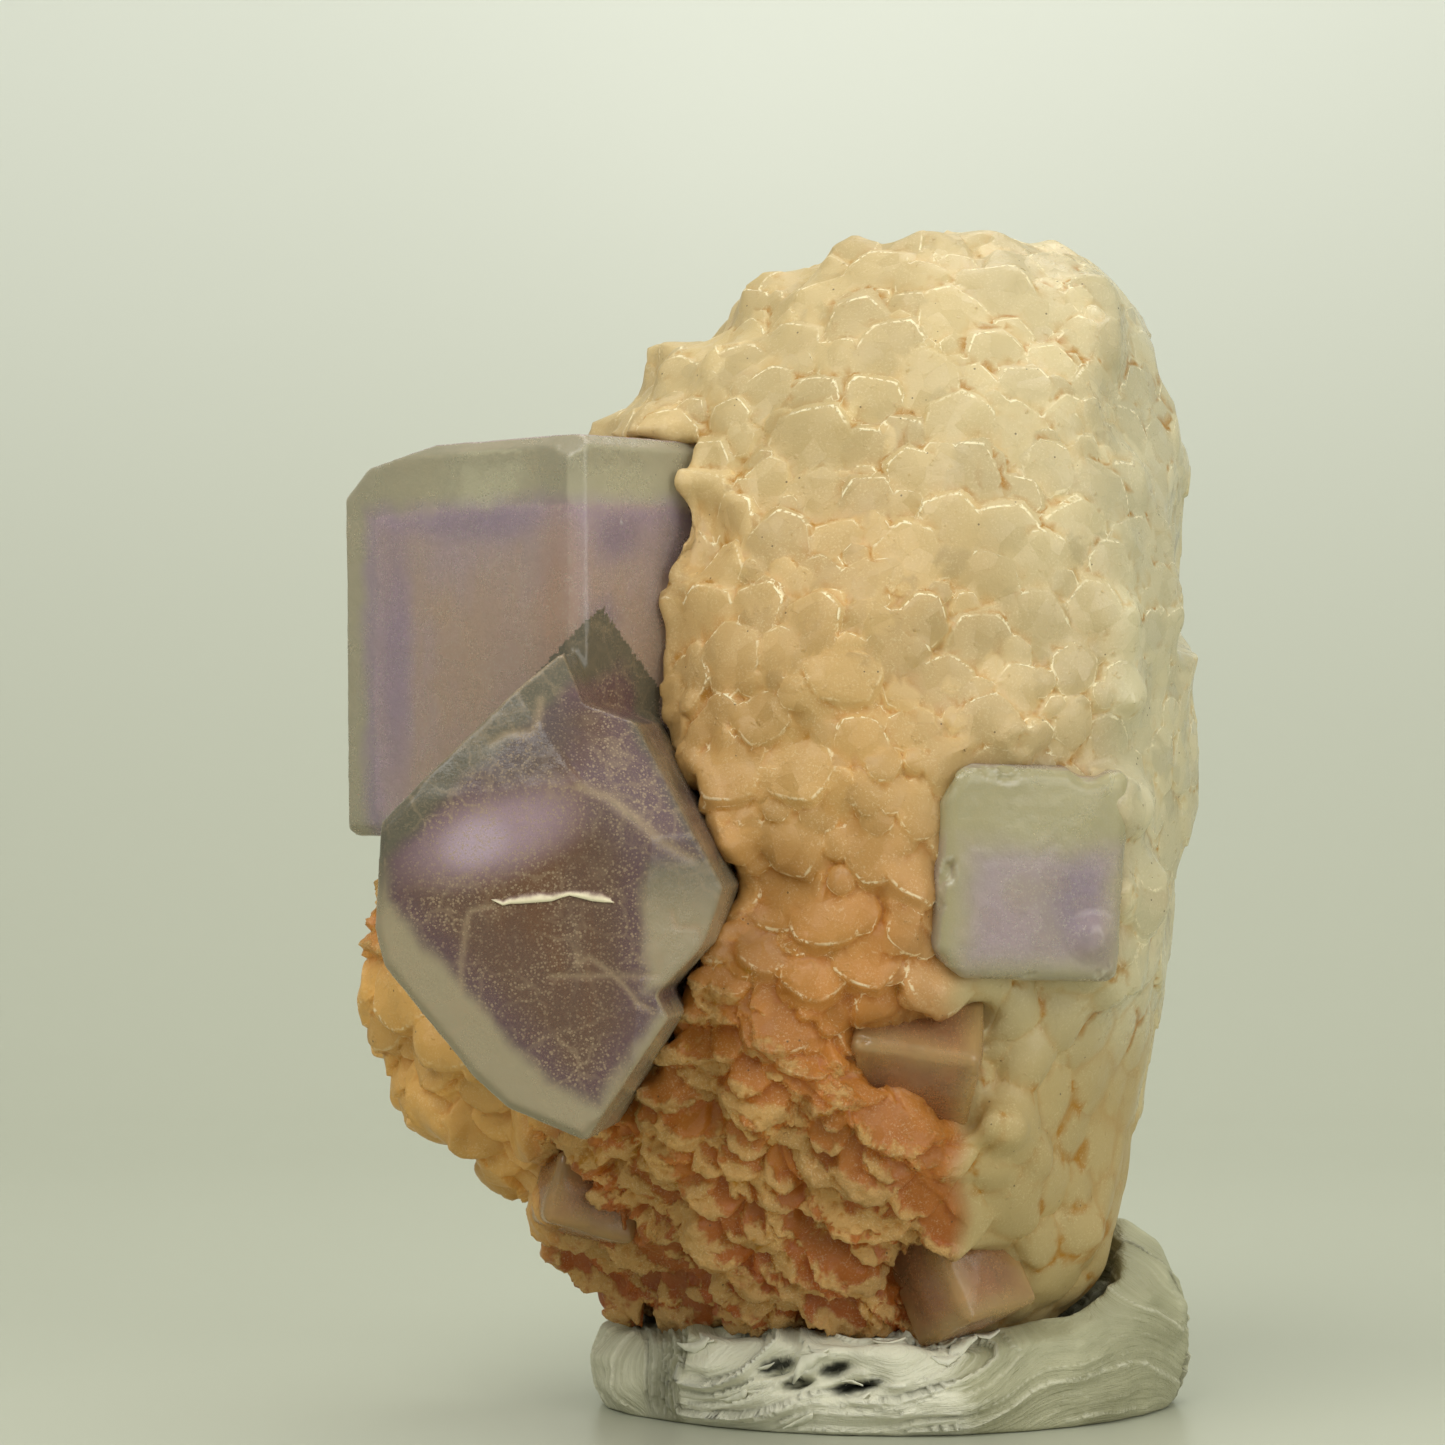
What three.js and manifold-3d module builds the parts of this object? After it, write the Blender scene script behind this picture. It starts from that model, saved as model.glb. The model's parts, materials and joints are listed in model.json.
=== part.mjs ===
// Zoned fluorite cubes grown on a plate of drusy quartz, stood in a pad of mounting putty.
// Millimetres, +Z up, with the display face towards -Y. The origin lies on the table, under the
// middle of the specimen's box.
import * as THREE from "three";
import { mergeVertices } from "three/addons/utils/BufferGeometryUtils.js";
import Module from "manifold-3d";

const wasm = await Module();
wasm.setup();

// Driving dimensions
const GAP = 0.3; // clearance between a crystal and its socket, and between the quartz and the putty
const MIDDLE_OF_BOX = [0.68, 2.16]; // where the middle of the box falls, in the outlines' own x and y
const POINT_RADIUS = 2.9; // of a typical quartz point
const ROW_STEP = 4.35; // spacing of the rows of points, measured up the surface
const POINT_STEP = 5.1; // spacing of the points along a row
const LOWEST_ROW = 8.5;
const PLATE_FOOT = 2.2;
const PLATE_CROWN = 74.5;
const PUTTY = { middle: [7.6, 9.2], wide: 18.2, deep: 13.4, lip: 5.9, rise: 5.4 };

// The quartz plate under its points: rings from the foot to the crown. Each has its height, its
// middle, and its reach from there to the right, right-back, back, left-back, left, left-front,
// front and right-front.
const RINGS = [
  { z: 2.2, middle: [5, 9], reach: [12, 11, 9, 9, 10, 8, 7, 10] },
  { z: 7.5, middle: [5, 8.5], reach: [16.6, 14.5, 11.5, 12, 13.6, 11, 10, 14] },
  { z: 13, middle: [3, 8], reach: [20.4, 18, 13, 16, 17.5, 14, 14, 18] },
  { z: 17.5, middle: [1, 7.5], reach: [23.2, 19.5, 13.5, 19.5, 21.6, 15, 16.5, 20] },
  { z: 23, middle: [0, 7], reach: [25, 21.5, 14.5, 22, 24, 16, 17.6, 21.5] },
  { z: 35, middle: [0, 6], reach: [27.2, 24, 16, 24, 23.6, 15, 17.5, 23] },
  { z: 48, middle: [2, 6], reach: [26.4, 23, 16.5, 22, 20.5, 13.5, 16.5, 22.4] },
  { z: 58, middle: [5, 6], reach: [22.6, 19.5, 15, 18.5, 17.6, 13, 14.5, 19.4] },
  { z: 66, middle: [8, 6], reach: [17.4, 15, 12.6, 15, 14.4, 12, 12, 15.4] },
  { z: 70.4, middle: [10, 6], reach: [14, 12, 9.6, 11, 11.4, 9.5, 9, 12.4] },
  { z: 73.5, middle: [11, 6], reach: [9.8, 8, 6, 7.4, 8.6, 6.4, 6, 8.4] },
];

// Fluorite crystals: width, depth and height, the middle, and the turn about x, y and z in degrees,
// made in the order z, y, x. The edges are bevelled, and each face is crowned at its middle.
const CRYSTALS = {
  upper: { size: [21, 20, 24.4], at: [-12.9, 4.9, 49], turn: [-1, -0.5, -42], bevel: 0.7 },
  right: { size: [11.8, 9, 12.8], at: [14.3, -7.7, 35.1], turn: [3, 3, 17], bevel: 0.5 },
  centre: { size: [7.8, 6.8, 6.8], at: [8.5, -7.6, 24.1], turn: [44, 5, -6], bevel: 0.35 },
  corner: { size: [6, 5.6, 8], at: [11.3, -1.5, 10.2], turn: [-14, -22, 36], bevel: 0.3 },
  low_left: { size: [6, 5.4, 4.6], at: [-11.4, 0.2, 14.2], turn: [-10, 14, 14], bevel: 0.3 },
};
const CROWN = 0.35; // how far the middle of a fluorite face stands proud of its edges
const FACE_STEPS = 2; // squares along the edge of a fluorite face
const EDGE_STEPS = 1; // and along that of its socket

// The front crystal stands on one corner: its outline across and up from its middle, the top first
// and then round by the left, and its depth back from its front face.
const FRONT = { at: [-13.5, -17.6, 33.7], turn: -8, depth: 17, bevel: 0.5 };
const FRONT_OUTLINE = [
  [0.3, 14.4],
  [-9.9, 4.3],
  [-10.2, -1.9],
  [-9.7, -4.1],
  [-4.3, -10.6],
  [-2.3, -12.4],
  [2.4, -14.3],
  [3.4, -12.8],
  [7.2, -7.1],
  [6.5, -5.7],
  [9.1, -2.9],
  [10.2, 0.5],
  [9, 3],
  [4.8, 10.2],
  [1.8, 11.3],
];

// Faces that take an edge or a corner off the front crystal: a point on each, from the middle of the
// front face, and the way it looks.
const FRONT_FACETS = [
  { name: "upper right side", at: [2.1, 0, 6.7], facing: [0.39, -0.77, 0.51] },
  { name: "top slope", at: [0, 0, 6.4], facing: [-0.03, -0.97, 0.25] },
  { name: "glint at the top", at: [0.3, 1, 12.4], facing: [0.45, -0.5, 0.74] },
  { name: "broken right corner", at: [5.9, 0, -1], facing: [0.5, -0.86, -0.05] },
];

// The same for the worn corners of the upper crystal, in the outlines' own frame.
const UPPER_FACETS = [
  { name: "left shoulder", at: [-27.3, 3, 57.4], facing: [-0.8, -0.1, 0.6] },
  { name: "left of the top", at: [-25.2, 3, 60], facing: [-0.28, 0, 0.96] },
  { name: "chip at the front", at: [-11.9, -8.6, 60.6], facing: [-0.3, -0.75, 0.6] },
];

const Z_AXIS = new THREE.Vector3(0, 0, 1);
const SIDES = 6; // of a quartz point
const DIRECTIONS = 8; // reaches in a ring
const BLOCK = 160; // edge of a block that is larger than the specimen

// A repeatable random number from 0 to 1 for a pair of whole numbers.
function chance(a, b) {
  const wave = Math.sin(a * 127.1 + b * 311.7) * 43758.5453;
  return wave - Math.floor(wave);
}

// The same, from -1 to 1.
function swing(a, b) {
  return 2 * chance(a, b) - 1;
}

// A smooth value at x through values given at rising knots.
function through(knots, values, x) {
  const last = knots.length - 1;
  const at = Math.min(Math.max(x, knots[0]), knots[last]);
  let i = 0;
  while (i < last - 1 && at > knots[i + 1]) i += 1;
  const slope = (k) => {
    const a = Math.max(k - 1, 0);
    const b = Math.min(k + 1, last);
    return (values[b] - values[a]) / (knots[b] - knots[a]);
  };
  const span = knots[i + 1] - knots[i];
  const t = (at - knots[i]) / span;
  const rise = values[i + 1] - values[i];
  const ease = t * t * (3 - 2 * t);
  const out = t * (1 - t) * (1 - t) * slope(i) * span;
  const back = t * t * (t - 1) * slope(i + 1) * span;
  return values[i] + rise * ease + out + back;
}

const LEVELS = RINGS.map((ring) => ring.z);
const MIDDLE_X = RINGS.map((ring) => ring.middle[0]);
const MIDDLE_Y = RINGS.map((ring) => ring.middle[1]);
const REACHES = [...Array(DIRECTIONS).keys()].map((d) => RINGS.map((ring) => ring.reach[d]));

// The reach of the plate at a height, towards a turn in radians from +X.
function reachOf(turn, z) {
  const share = (((turn / (2 * Math.PI)) % 1) + 1) % 1;
  const along = share * DIRECTIONS;
  const first = Math.floor(along) % DIRECTIONS;
  const t = along - Math.floor(along);
  const [a, b, c, d] = [-1, 0, 1, 2].map((step) =>
    through(LEVELS, REACHES[(first + step + DIRECTIONS) % DIRECTIONS], z),
  );
  const bend = 2 * a - 5 * b + 4 * c - d;
  const turnover = 3 * (b - c) + d - a;
  return b + 0.5 * t * (c - a + t * (bend + t * turnover));
}

// Broad lumps of the plate, in millimetres, at a turn and a height.
function lumps(turn, z) {
  const broad = 0.6 * Math.sin(3 * turn + 0.11 * z) * Math.cos(0.19 * z + turn);
  return broad + 0.35 * Math.sin(7 * turn - 0.27 * z);
}

// The point of the plate's skin at a turn and a height, moved out by a distance.
function skin(turn, z, out = 0) {
  const reach = reachOf(turn, z) + lumps(turn, z) * Math.min(1, (PLATE_CROWN - z) / 8) + out;
  return new THREE.Vector3(
    through(LEVELS, MIDDLE_X, z) + reach * Math.cos(turn),
    through(LEVELS, MIDDLE_Y, z) + reach * Math.sin(turn),
    z,
  );
}

// The outward normal of the skin.
function skinNormal(turn, z) {
  const around = skin(turn + 0.03, z).sub(skin(turn - 0.03, z));
  const low = Math.max(z - 0.6, LEVELS[0]);
  const high = Math.min(z + 0.6, LEVELS.at(-1));
  const up = skin(turn, high).sub(skin(turn, low));
  return around.cross(up).normalize();
}

// A closed geometry as a solid for joins and cuts.
function solidOf(geometry) {
  const bare = geometry.clone();
  bare.deleteAttribute("normal");
  bare.deleteAttribute("uv");
  const merged = mergeVertices(bare, 1e-4);
  const mesh = new wasm.Mesh({
    numProp: 3,
    vertProperties: merged.attributes.position.array,
    triVerts: new Uint32Array(merged.index.array),
  });
  return new wasm.Manifold(mesh);
}

// A solid back as a geometry.
function geometryOf(solid) {
  const mesh = solid.getMesh();
  return new THREE.BufferGeometry()
    .setAttribute("position", new THREE.BufferAttribute(mesh.vertProperties, 3))
    .setIndex(new THREE.BufferAttribute(mesh.triVerts, 1));
}

// All the solids of a list joined, in pairs, then pairs of pairs.
function joined(solids) {
  let left = solids;
  while (left.length > 1) {
    const next = [];
    for (let i = 0; i < left.length; i += 2) {
      next.push(i + 1 < left.length ? left[i].add(left[i + 1]) : left[i]);
    }
    left = next;
  }
  return left[0];
}

// A solid without each of the others.
function without(solid, others) {
  return others.reduce((left, other) => left.subtract(other), solid);
}

// The half of space past a plane, as a large block. The plane is moved out by a distance.
function past({ at, facing }, out = 0) {
  const normal = new THREE.Vector3(...facing).normalize();
  const block = new THREE.BoxGeometry(BLOCK, BLOCK, BLOCK).translate(0, 0, BLOCK / 2 + out);
  const turn = new THREE.Quaternion().setFromUnitVectors(Z_AXIS, normal);
  return solidOf(block.applyQuaternion(turn).translate(...at));
}

// The largest body of a solid, without the crumbs that a cut leaves loose.
function largest(solid) {
  return solid.decompose().reduce((best, part) => (part.volume() > best.volume() ? part : best));
}

// A closed skin from rings of points, each ring in the same order, capped by a point at each end.
function loft(rings, bottom, top) {
  const around = rings[0].length;
  const points = [...rings.flat(), bottom, top];
  const base = rings.length * around;
  const faces = [];
  for (let k = 0; k < around; k += 1) {
    const next = (k + 1) % around;
    faces.push(base, next, k);
    const high = (rings.length - 1) * around;
    faces.push(base + 1, high + k, high + next);
    for (let j = 0; j < rings.length - 1; j += 1) {
      const a = j * around;
      const b = a + around;
      faces.push(a + k, a + next, b + next, a + k, b + next, b + k);
    }
  }
  const flat = points.flatMap((p) => [p.x, p.y, p.z]);
  return new THREE.BufferGeometry()
    .setAttribute("position", new THREE.Float32BufferAttribute(flat, 3))
    .setIndex(faces);
}

// The plate without its points, grown by a distance.
function plate(out = 0, around = 20) {
  const heights = [2.2, 8, 15, 22, 29, 36, 43, 50, 57, 63, 68, 71.6, 73.5];
  const rings = heights.map((z, j) =>
    [...Array(around).keys()].map((k) => skin((2 * Math.PI * (k + (j % 2) / 2)) / around, z, out)),
  );
  const foot = new THREE.Vector3(RINGS[0].middle[0], RINGS[0].middle[1], PLATE_FOOT);
  const crown = new THREE.Vector3(MIDDLE_X.at(-1), MIDDLE_Y.at(-1), PLATE_CROWN);
  for (const point of rings[0]) point.z -= out;
  foot.z -= out;
  crown.z += out;
  return solidOf(loft(rings, foot, crown));
}

// A six-sided quartz point, its tip set a little off its axis. Its foot is sunk by its depth.
function quartzPoint(radius, shoulder, tip, depth, lean) {
  const outline = [
    [0, -depth],
    [radius * 0.9, -depth],
    [radius, shoulder],
    [0, tip],
  ].map(([r, y]) => new THREE.Vector2(r, y));
  const shape = new THREE.LatheGeometry(outline, SIDES).rotateX(Math.PI / 2);
  const place = shape.attributes.position;
  for (let i = 0; i < place.count; i += 1) {
    const rise = Math.max(0, (place.getZ(i) - shoulder) / (tip - shoulder));
    place.setXYZ(i, place.getX(i) + lean[0] * rise, place.getY(i) + lean[1] * rise, place.getZ(i));
  }
  return shape;
}

// What the druse is like at a place: the size of its points, how high they stand, and how far they
// hang over towards the foot, like scales. The right edge and the back are broken and have none.
function druseAt(place, normal) {
  const broken = normal.x > 0.7 && place.x > 16;
  const back = normal.y > 0.45;
  if (broken || back) return null;
  if (place.x > 13 && place.z < 28) return { size: 0.9, rise: 0.4, fall: 0.15 };
  if (place.z < 27) return { size: 1.05, rise: 0.66, fall: 0.55 };
  if (place.z < 54) return { size: 1.1, rise: 0.62, fall: 0.5 };
  return { size: 0.95, rise: 0.6, fall: 0.2 };
}

// Whether a fluorite crystal lies at a place or just behind it, so that no quartz point fits there.
function isTaken(place, normal) {
  return [0, 1, 2, 3].some((out) => {
    const probe = place.clone().addScaledVector(normal, out);
    return INSIDE.some((inside) => inside(probe));
  });
}

// The quartz points, in rows round the plate.
function druse() {
  const points = [];
  let z = LOWEST_ROW;
  let row = 0;
  while (z < LEVELS.at(-1)) {
    const around = [...Array(16).keys()].map((k) => skin((k * Math.PI) / 8, z));
    const length = around.reduce((sum, p, k) => sum + p.distanceTo(around[(k + 1) % 16]), 0);
    const count = Math.max(4, Math.round(length / POINT_STEP));
    for (let k = 0; k < count; k += 1) {
      const turn = (2 * Math.PI * (k + 0.5 * (row % 2) + 0.22 * swing(row, k))) / count;
      const height = Math.min(z + 0.7 * swing(k, row + 40), LEVELS.at(-1));
      const place = skin(turn, height);
      const normal = skinNormal(turn, height);
      const kind = druseAt(place, normal);
      if (!kind || isTaken(place, normal)) continue;
      const radius = POINT_RADIUS * kind.size * (0.8 + 0.45 * chance(row + 9, k));
      const tip = radius * kind.rise * (0.85 + 0.4 * chance(k + 5, row));
      const lean = [0.3 * radius * swing(row, k + 70), 0.3 * radius * swing(row + 70, k)];
      const axis = normal.clone().add(
        new THREE.Vector3(0.2 * swing(k, row), 0.2 * swing(k + 3, row), -kind.fall),
      );
      const shape = quartzPoint(radius, 0.1 * radius, tip + 0.1 * radius, 1.4 * radius, lean);
      shape.rotateZ(chance(row, k + 30) * Math.PI);
      const stand = new THREE.Quaternion().setFromUnitVectors(Z_AXIS, axis.normalize());
      shape.applyQuaternion(stand).translate(place.x, place.y, place.z);
      points.push(solidOf(shape));
    }
    const slant = Math.abs(reachOf(4.7, z + 0.5) - reachOf(4.7, z - 0.5));
    z += ROW_STEP / Math.hypot(1, slant);
    row += 1;
  }
  return points;
}

// The points that close the crown, where the rows end.
function crownPoints() {
  const spots = [[5.5, 2], [9.5, 0.5], [14, 2], [17.5, 5], [11, 5], [6.5, 7.5], [14.5, 9], [10, 10.5]];
  return spots.map(([x, y], i) => {
    const radius = POINT_RADIUS * (0.85 + 0.3 * chance(i, 90));
    const shape = quartzPoint(radius, 0.2, 0.5 * radius, 2 * radius, [0.5 * swing(i, 91), 0.3]);
    const stand = new THREE.Euler(0.25 * swing(i, 92), 0.25 * swing(i, 93), i);
    shape.applyQuaternion(new THREE.Quaternion().setFromEuler(stand));
    return solidOf(shape.translate(x, y, PLATE_CROWN - 0.3 - 0.012 * (x - 11.5) ** 2));
  });
}

// The point of the display face in front of an x and a height.
function frontAt(x, z) {
  let low = Math.PI;
  let high = 2 * Math.PI;
  for (let i = 0; i < 30; i += 1) {
    const half = (low + high) / 2;
    if (skin(half, z).x < x) low = half;
    else high = half;
  }
  return skin((low + high) / 2, z);
}

// Rough ridges that run down to the right across the low part of the display face.
function ridges() {
  const lines = [
    { from: [-13, 19], to: [0, 8.5] },
    { from: [-9, 23], to: [6, 10] },
    { from: [-4, 26], to: [9, 14] },
  ];
  return lines.flatMap(({ from, to }, line) => {
    const steps = Math.round(Math.hypot(to[0] - from[0], to[1] - from[1]) / 3);
    return [...Array(steps + 1).keys()].map((i) => {
      const x = from[0] + ((to[0] - from[0]) * i) / steps;
      const z = from[1] + ((to[1] - from[1]) * i) / steps + 0.5 * swing(i, line);
      const place = frontAt(x, z);
      const knob = new THREE.IcosahedronGeometry(1.7 + 0.5 * chance(i, line + 4), 0);
      knob.rotateX(6 * chance(line, i)).rotateY(6 * chance(i, line));
      return solidOf(knob.translate(place.x, place.y - 0.5, place.z));
    });
  });
}

// A box of a size, turned about x, y and z in radians and moved to its place.
function block({ size, at, turn }) {
  const box = new THREE.BoxGeometry(...size).rotateX(turn[0]).rotateY(turn[1]).rotateZ(turn[2]);
  return solidOf(box.translate(...at));
}

// Blocks of quartz that stand out of the druse at the left, over older cubes that it hides.
const COATED_BLOCKS = [
  { size: [6, 6, 5], at: [-5, 9, 66], turn: [0.15, 0.1, 0.5] },
  { size: [5, 5, 4.6], at: [-9, 10, 61.8], turn: [0.1, -0.3, 0.9] },
  { size: [5, 5, 5], at: [-20.6, 12, 25.4], turn: [0.4, 0.2, 0.3] },
];

// Large flat breaks along the right edge and over the back.
const BREAKS = [
  { at: [28, 0, 42], facing: [1, -0.1, 0.02] },
  { at: [27, -3.4, 52], facing: [0.84, -0.5, 0.14] },
  { at: [24.6, 2, 17], facing: [0.97, 0.05, -0.2] },
  { at: [21.4, 16, 44], facing: [0.72, 0.68, 0.06] },
  { at: [4, 21, 38], facing: [0.1, 1, 0.06] },
  { at: [-9, 21, 28], facing: [-0.34, 0.92, -0.2] },
  { at: [6, 18.8, 60], facing: [0.08, 0.88, 0.42] },
  { at: [8, 19.4, 16], facing: [0.14, 0.94, -0.34] },
];

// Steps bitten out of the right edge and the back, each a block that reaches into the quartz.
const STEPS = [
  { size: [8, 12, 15], at: [29.7, 3, 56], turn: [0.1, 0.12, -0.2] },
  { size: [7, 10, 11], at: [29.2, 9, 41], turn: [-0.2, -0.1, 0.3] },
  { size: [6, 12, 9], at: [28, 2, 24], turn: [0.3, 0.2, 0.1] },
  { size: [13, 8, 16], at: [9, 23.2, 51], turn: [-0.12, 0.3, 0.1] },
  { size: [16, 8, 12], at: [-5, 23.4, 38], turn: [0.1, -0.25, 0.25] },
  { size: [12, 8, 11], at: [12, 23.4, 30], turn: [0.2, 0.5, -0.2] },
  { size: [11, 8, 13], at: [-14, 20.6, 20], turn: [0.1, 0.4, 0.5] },
  { size: [10, 8, 9], at: [4, 22.6, 19], turn: [-0.3, 0.2, 0.05] },
  { size: [11, 9, 9], at: [16, 18, 66], turn: [0.5, 0.3, -0.4] },
  { size: [9, 7, 12], at: [21, 20.5, 36], turn: [0.1, -0.3, -0.6] },
  { size: [10, 8, 8], at: [-4, 20.5, 58], turn: [-0.4, 0.2, 0.3] },
  { size: [6, 9, 8], at: [29.6, 5, 33], turn: [0.4, -0.15, -0.2] },
  { size: [7, 8, 7], at: [26.4, 8, 66], turn: [0.2, 0.5, 0.3] },
  { size: [8, 8, 9], at: [20, 19, 22], turn: [-0.2, 0.1, -0.5] },
];

// A crystal's place: its turn and its middle.
function placeOf({ at, turn }) {
  const [x, y, z] = turn.map(THREE.MathUtils.degToRad);
  return new THREE.Matrix4()
    .makeRotationFromEuler(new THREE.Euler(x, y, z, "XYZ"))
    .setPosition(...at);
}

// A fluorite block with crowned faces and bevelled edges, grown by a distance on every side.
function fluorite(crystal, out = 0) {
  const [w, d, h] = crystal.size.map((side) => side + 2 * out);
  const half = [w / 2, d / 2, h / 2];
  const steps = out > 0 ? EDGE_STEPS : FACE_STEPS;
  const crown = out > 0 ? 0 : CROWN;
  const reach = out > 0 ? CROWN : 0;
  const shape = new THREE.BoxGeometry(w, d, h, steps, steps, steps);
  const place = shape.attributes.position;
  for (let i = 0; i < place.count; i += 1) {
    const at = [place.getX(i), place.getY(i), place.getZ(i)];
    const share = at.map((value, axis) => value / half[axis]);
    const moved = at.map((value, axis) => {
      const grown = value + Math.sign(value) * reach;
      if (Math.abs(share[axis]) < 1 - 1e-6) return grown;
      const [u, v] = share.filter((_, other) => other !== axis);
      return grown + Math.sign(value) * crown * (1 - u * u) * (1 - v * v);
    });
    place.setXYZ(i, ...moved);
  }
  const edges = [[0, 1], [1, 2], [0, 2]].flatMap(([a, b]) =>
    [[1, 1], [1, -1], [-1, 1], [-1, -1]].map(([p, q]) => {
      const facing = [0, 0, 0];
      const at = [0, 0, 0];
      [facing[a], facing[b]] = [p, q];
      [at[a], at[b]] = [p * (half[a] - crystal.bevel + reach), q * (half[b] + reach)];
      return past({ at, facing });
    }),
  );
  return without(solidOf(shape), edges).transform(placeOf(crystal).elements);
}

// The front crystal, with its sloping faces and its broken corner, grown by a distance.
function frontCrystal(out = 0) {
  const { at, turn, depth, bevel } = FRONT;
  const outline = new THREE.Shape(FRONT_OUTLINE.map(([x, z]) => new THREE.Vector2(x, z)));
  const body = new THREE.ExtrudeGeometry(outline, {
    depth: depth - 2 * bevel + 2 * out,
    bevelThickness: bevel,
    bevelSize: bevel,
    bevelOffset: out - bevel,
    bevelSegments: 1,
  });
  body.translate(0, 0, bevel - depth - out).rotateX(Math.PI / 2);
  const facets = FRONT_FACETS.map((facet) => past(facet, out));
  const place = new THREE.Matrix4()
    .makeRotationZ(THREE.MathUtils.degToRad(turn))
    .setPosition(...at);
  return without(solidOf(body), facets).transform(place.elements);
}

// The upper crystal with its worn corners, grown by a distance.
function upperCrystal(out = 0) {
  return without(fluorite(CRYSTALS.upper, out), UPPER_FACETS.map((facet) => past(facet, out)));
}

// The fluorites by name. The two large crystals grew through each other and are one solid.
const FLUORITES = {
  fluorite_pair: (out) => upperCrystal(out).add(frontCrystal(out)),
  fluorite_right: (out) => fluorite(CRYSTALS.right, out),
  fluorite_centre: (out) => fluorite(CRYSTALS.centre, out),
  fluorite_corner: (out) => fluorite(CRYSTALS.corner, out),
  fluorite_low_left: (out) => fluorite(CRYSTALS.low_left, out),
};

// For each crystal, a test of whether a place lies in the block that it was cut from.
const FRONT_BLOCK = { size: [19, 17, 19], at: [-13.5, -9.2, 33.7], turn: [0, 45, 0] };
const INSIDE = [...Object.values(CRYSTALS), FRONT_BLOCK].map((crystal) => {
  const home = placeOf(crystal).invert();
  return (place) => {
    const at = place.clone().applyMatrix4(home).toArray();
    return at.every((value, axis) => Math.abs(value) < crystal.size[axis] / 2);
  };
});

// The quartz in one piece, with a socket for each fluorite.
function quartz() {
  const blocks = COATED_BLOCKS.map(block);
  const grown = joined([plate(), ...druse(), ...crownPoints(), ...ridges(), ...blocks]);
  const cuts = [...BREAKS.map((face) => past(face)), ...STEPS.map(block)];
  const sockets = Object.values(FLUORITES).map((make) => make(GAP));
  const foot = past({ at: [0, 0, PLATE_FOOT], facing: [0, 0, -1] });
  return largest(without(grown, [...cuts, ...sockets, foot]));
}

// The outline of the putty from its edge on the table, over the lip and into the dish: the share of
// its width, and the share of its height.
const PUTTY_PROFILE = [
  [1, 0],
  [1.04, 0.3],
  [1.04, 0.6],
  [0.98, 0.86],
  [0.84, 1],
  [0.66, 0.9],
  [0.3, 0.8],
];

// The ring of the putty at a share of its width and of its height. It stands higher at the right.
function puttyRing([share, rise]) {
  const around = 28;
  return [...Array(around).keys()].map((k) => {
    const turn = (2 * Math.PI * k) / around;
    const right = Math.max(0, Math.cos(turn - 0.35));
    const height = PUTTY.lip + PUTTY.rise * right ** 2 + 0.35 * Math.sin(5 * turn);
    const wide = PUTTY.wide * (1 + 0.02 * Math.sin(4 * turn + 1));
    const deep = PUTTY.deep * (1 + 0.03 * Math.sin(3 * turn));
    const bulge = rise > 0 ? 0.4 * Math.sin(9 * turn + 5 * rise) : 0;
    return new THREE.Vector3(
      PUTTY.middle[0] + (wide * share + bulge) * Math.cos(turn),
      PUTTY.middle[1] + (deep * share + bulge) * Math.sin(turn),
      height * rise,
    );
  });
}

// The low part of the finished quartz, widened a little for the putty's clearance.
function quartzLow(whole) {
  const [x, y] = RINGS[1].middle;
  const low = whole.subtract(past({ at: [0, 0, 15], facing: [0, 0, 1] }));
  const widened = low.translate(-x, -y, 0).scale([1.03, 1.03, 1]).translate(x, y, -GAP);
  return widened.add(low);
}

// The putty pad: a rope pressed into an oval, with the plate sunk in it.
function putty(whole) {
  const bottom = new THREE.Vector3(...PUTTY.middle, 0);
  const top = new THREE.Vector3(...PUTTY.middle, PUTTY.lip * 0.8);
  const pad = solidOf(loft(PUTTY_PROFILE.map(puttyRing), bottom, top));
  const seat = without(plate(GAP, 24), BREAKS.map((face) => past(face, GAP)));
  const seats = [0, 1].map((lift) => seat.translate(0, 0, lift));
  const crystals = [FLUORITES.fluorite_corner(GAP), FLUORITES.fluorite_low_left(GAP)];
  return largest(without(pad, [...seats, quartzLow(whole), ...crystals]));
}

// A matt or, where it is clear, a see-through finish.
function finish(color, roughness, opacity = 1) {
  return new THREE.MeshStandardMaterial({
    color,
    roughness,
    metalness: 0,
    transparent: opacity < 1,
    opacity,
    flatShading: true,
  });
}

const QUARTZ_FINISH = finish(0xd9b27c, 0.45);
const FLUORITE_FINISH = finish(0x93808c, 0.3, 0.55);
const PUTTY_FINISH = finish(0xc9c8b4, 0.6);

const specimen = new THREE.Group();
specimen.name = "fluorite_on_quartz";
specimen.position.set(-MIDDLE_OF_BOX[0], -MIDDLE_OF_BOX[1], 0);

function addPiece(name, solid, material) {
  const mesh = new THREE.Mesh(geometryOf(solid), material);
  mesh.name = name;
  specimen.add(mesh);
}

const matrix = quartz();
addPiece("quartz_matrix", matrix, QUARTZ_FINISH);
for (const [name, make] of Object.entries(FLUORITES)) addPiece(name, make(0), FLUORITE_FINISH);
addPiece("putty_base", putty(matrix), PUTTY_FINISH);

export default specimen;
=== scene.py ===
"""Looks of a phantom fluorite on drusy quartz that stands in a pad of mounting putty.

The solids of the frame give every piece its place. The quartz is grown over its solid by a Geometry
Nodes tree, the fluorites are carved from theirs and hold their purple zones inside, and the putty is
kneaded from its pad. Lengths inside the classes are millimetres, and meshes are written in metres.
"""

from __future__ import annotations

import json
import logging
import math
from dataclasses import dataclass
from enum import Enum
from typing import Any, Callable, ClassVar, Iterable, Sequence

import bmesh
import bpy
import numpy as np
from mathutils import Euler, Matrix, Vector
from mathutils.bvhtree import BVHTree
from mathutils.kdtree import KDTree

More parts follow.
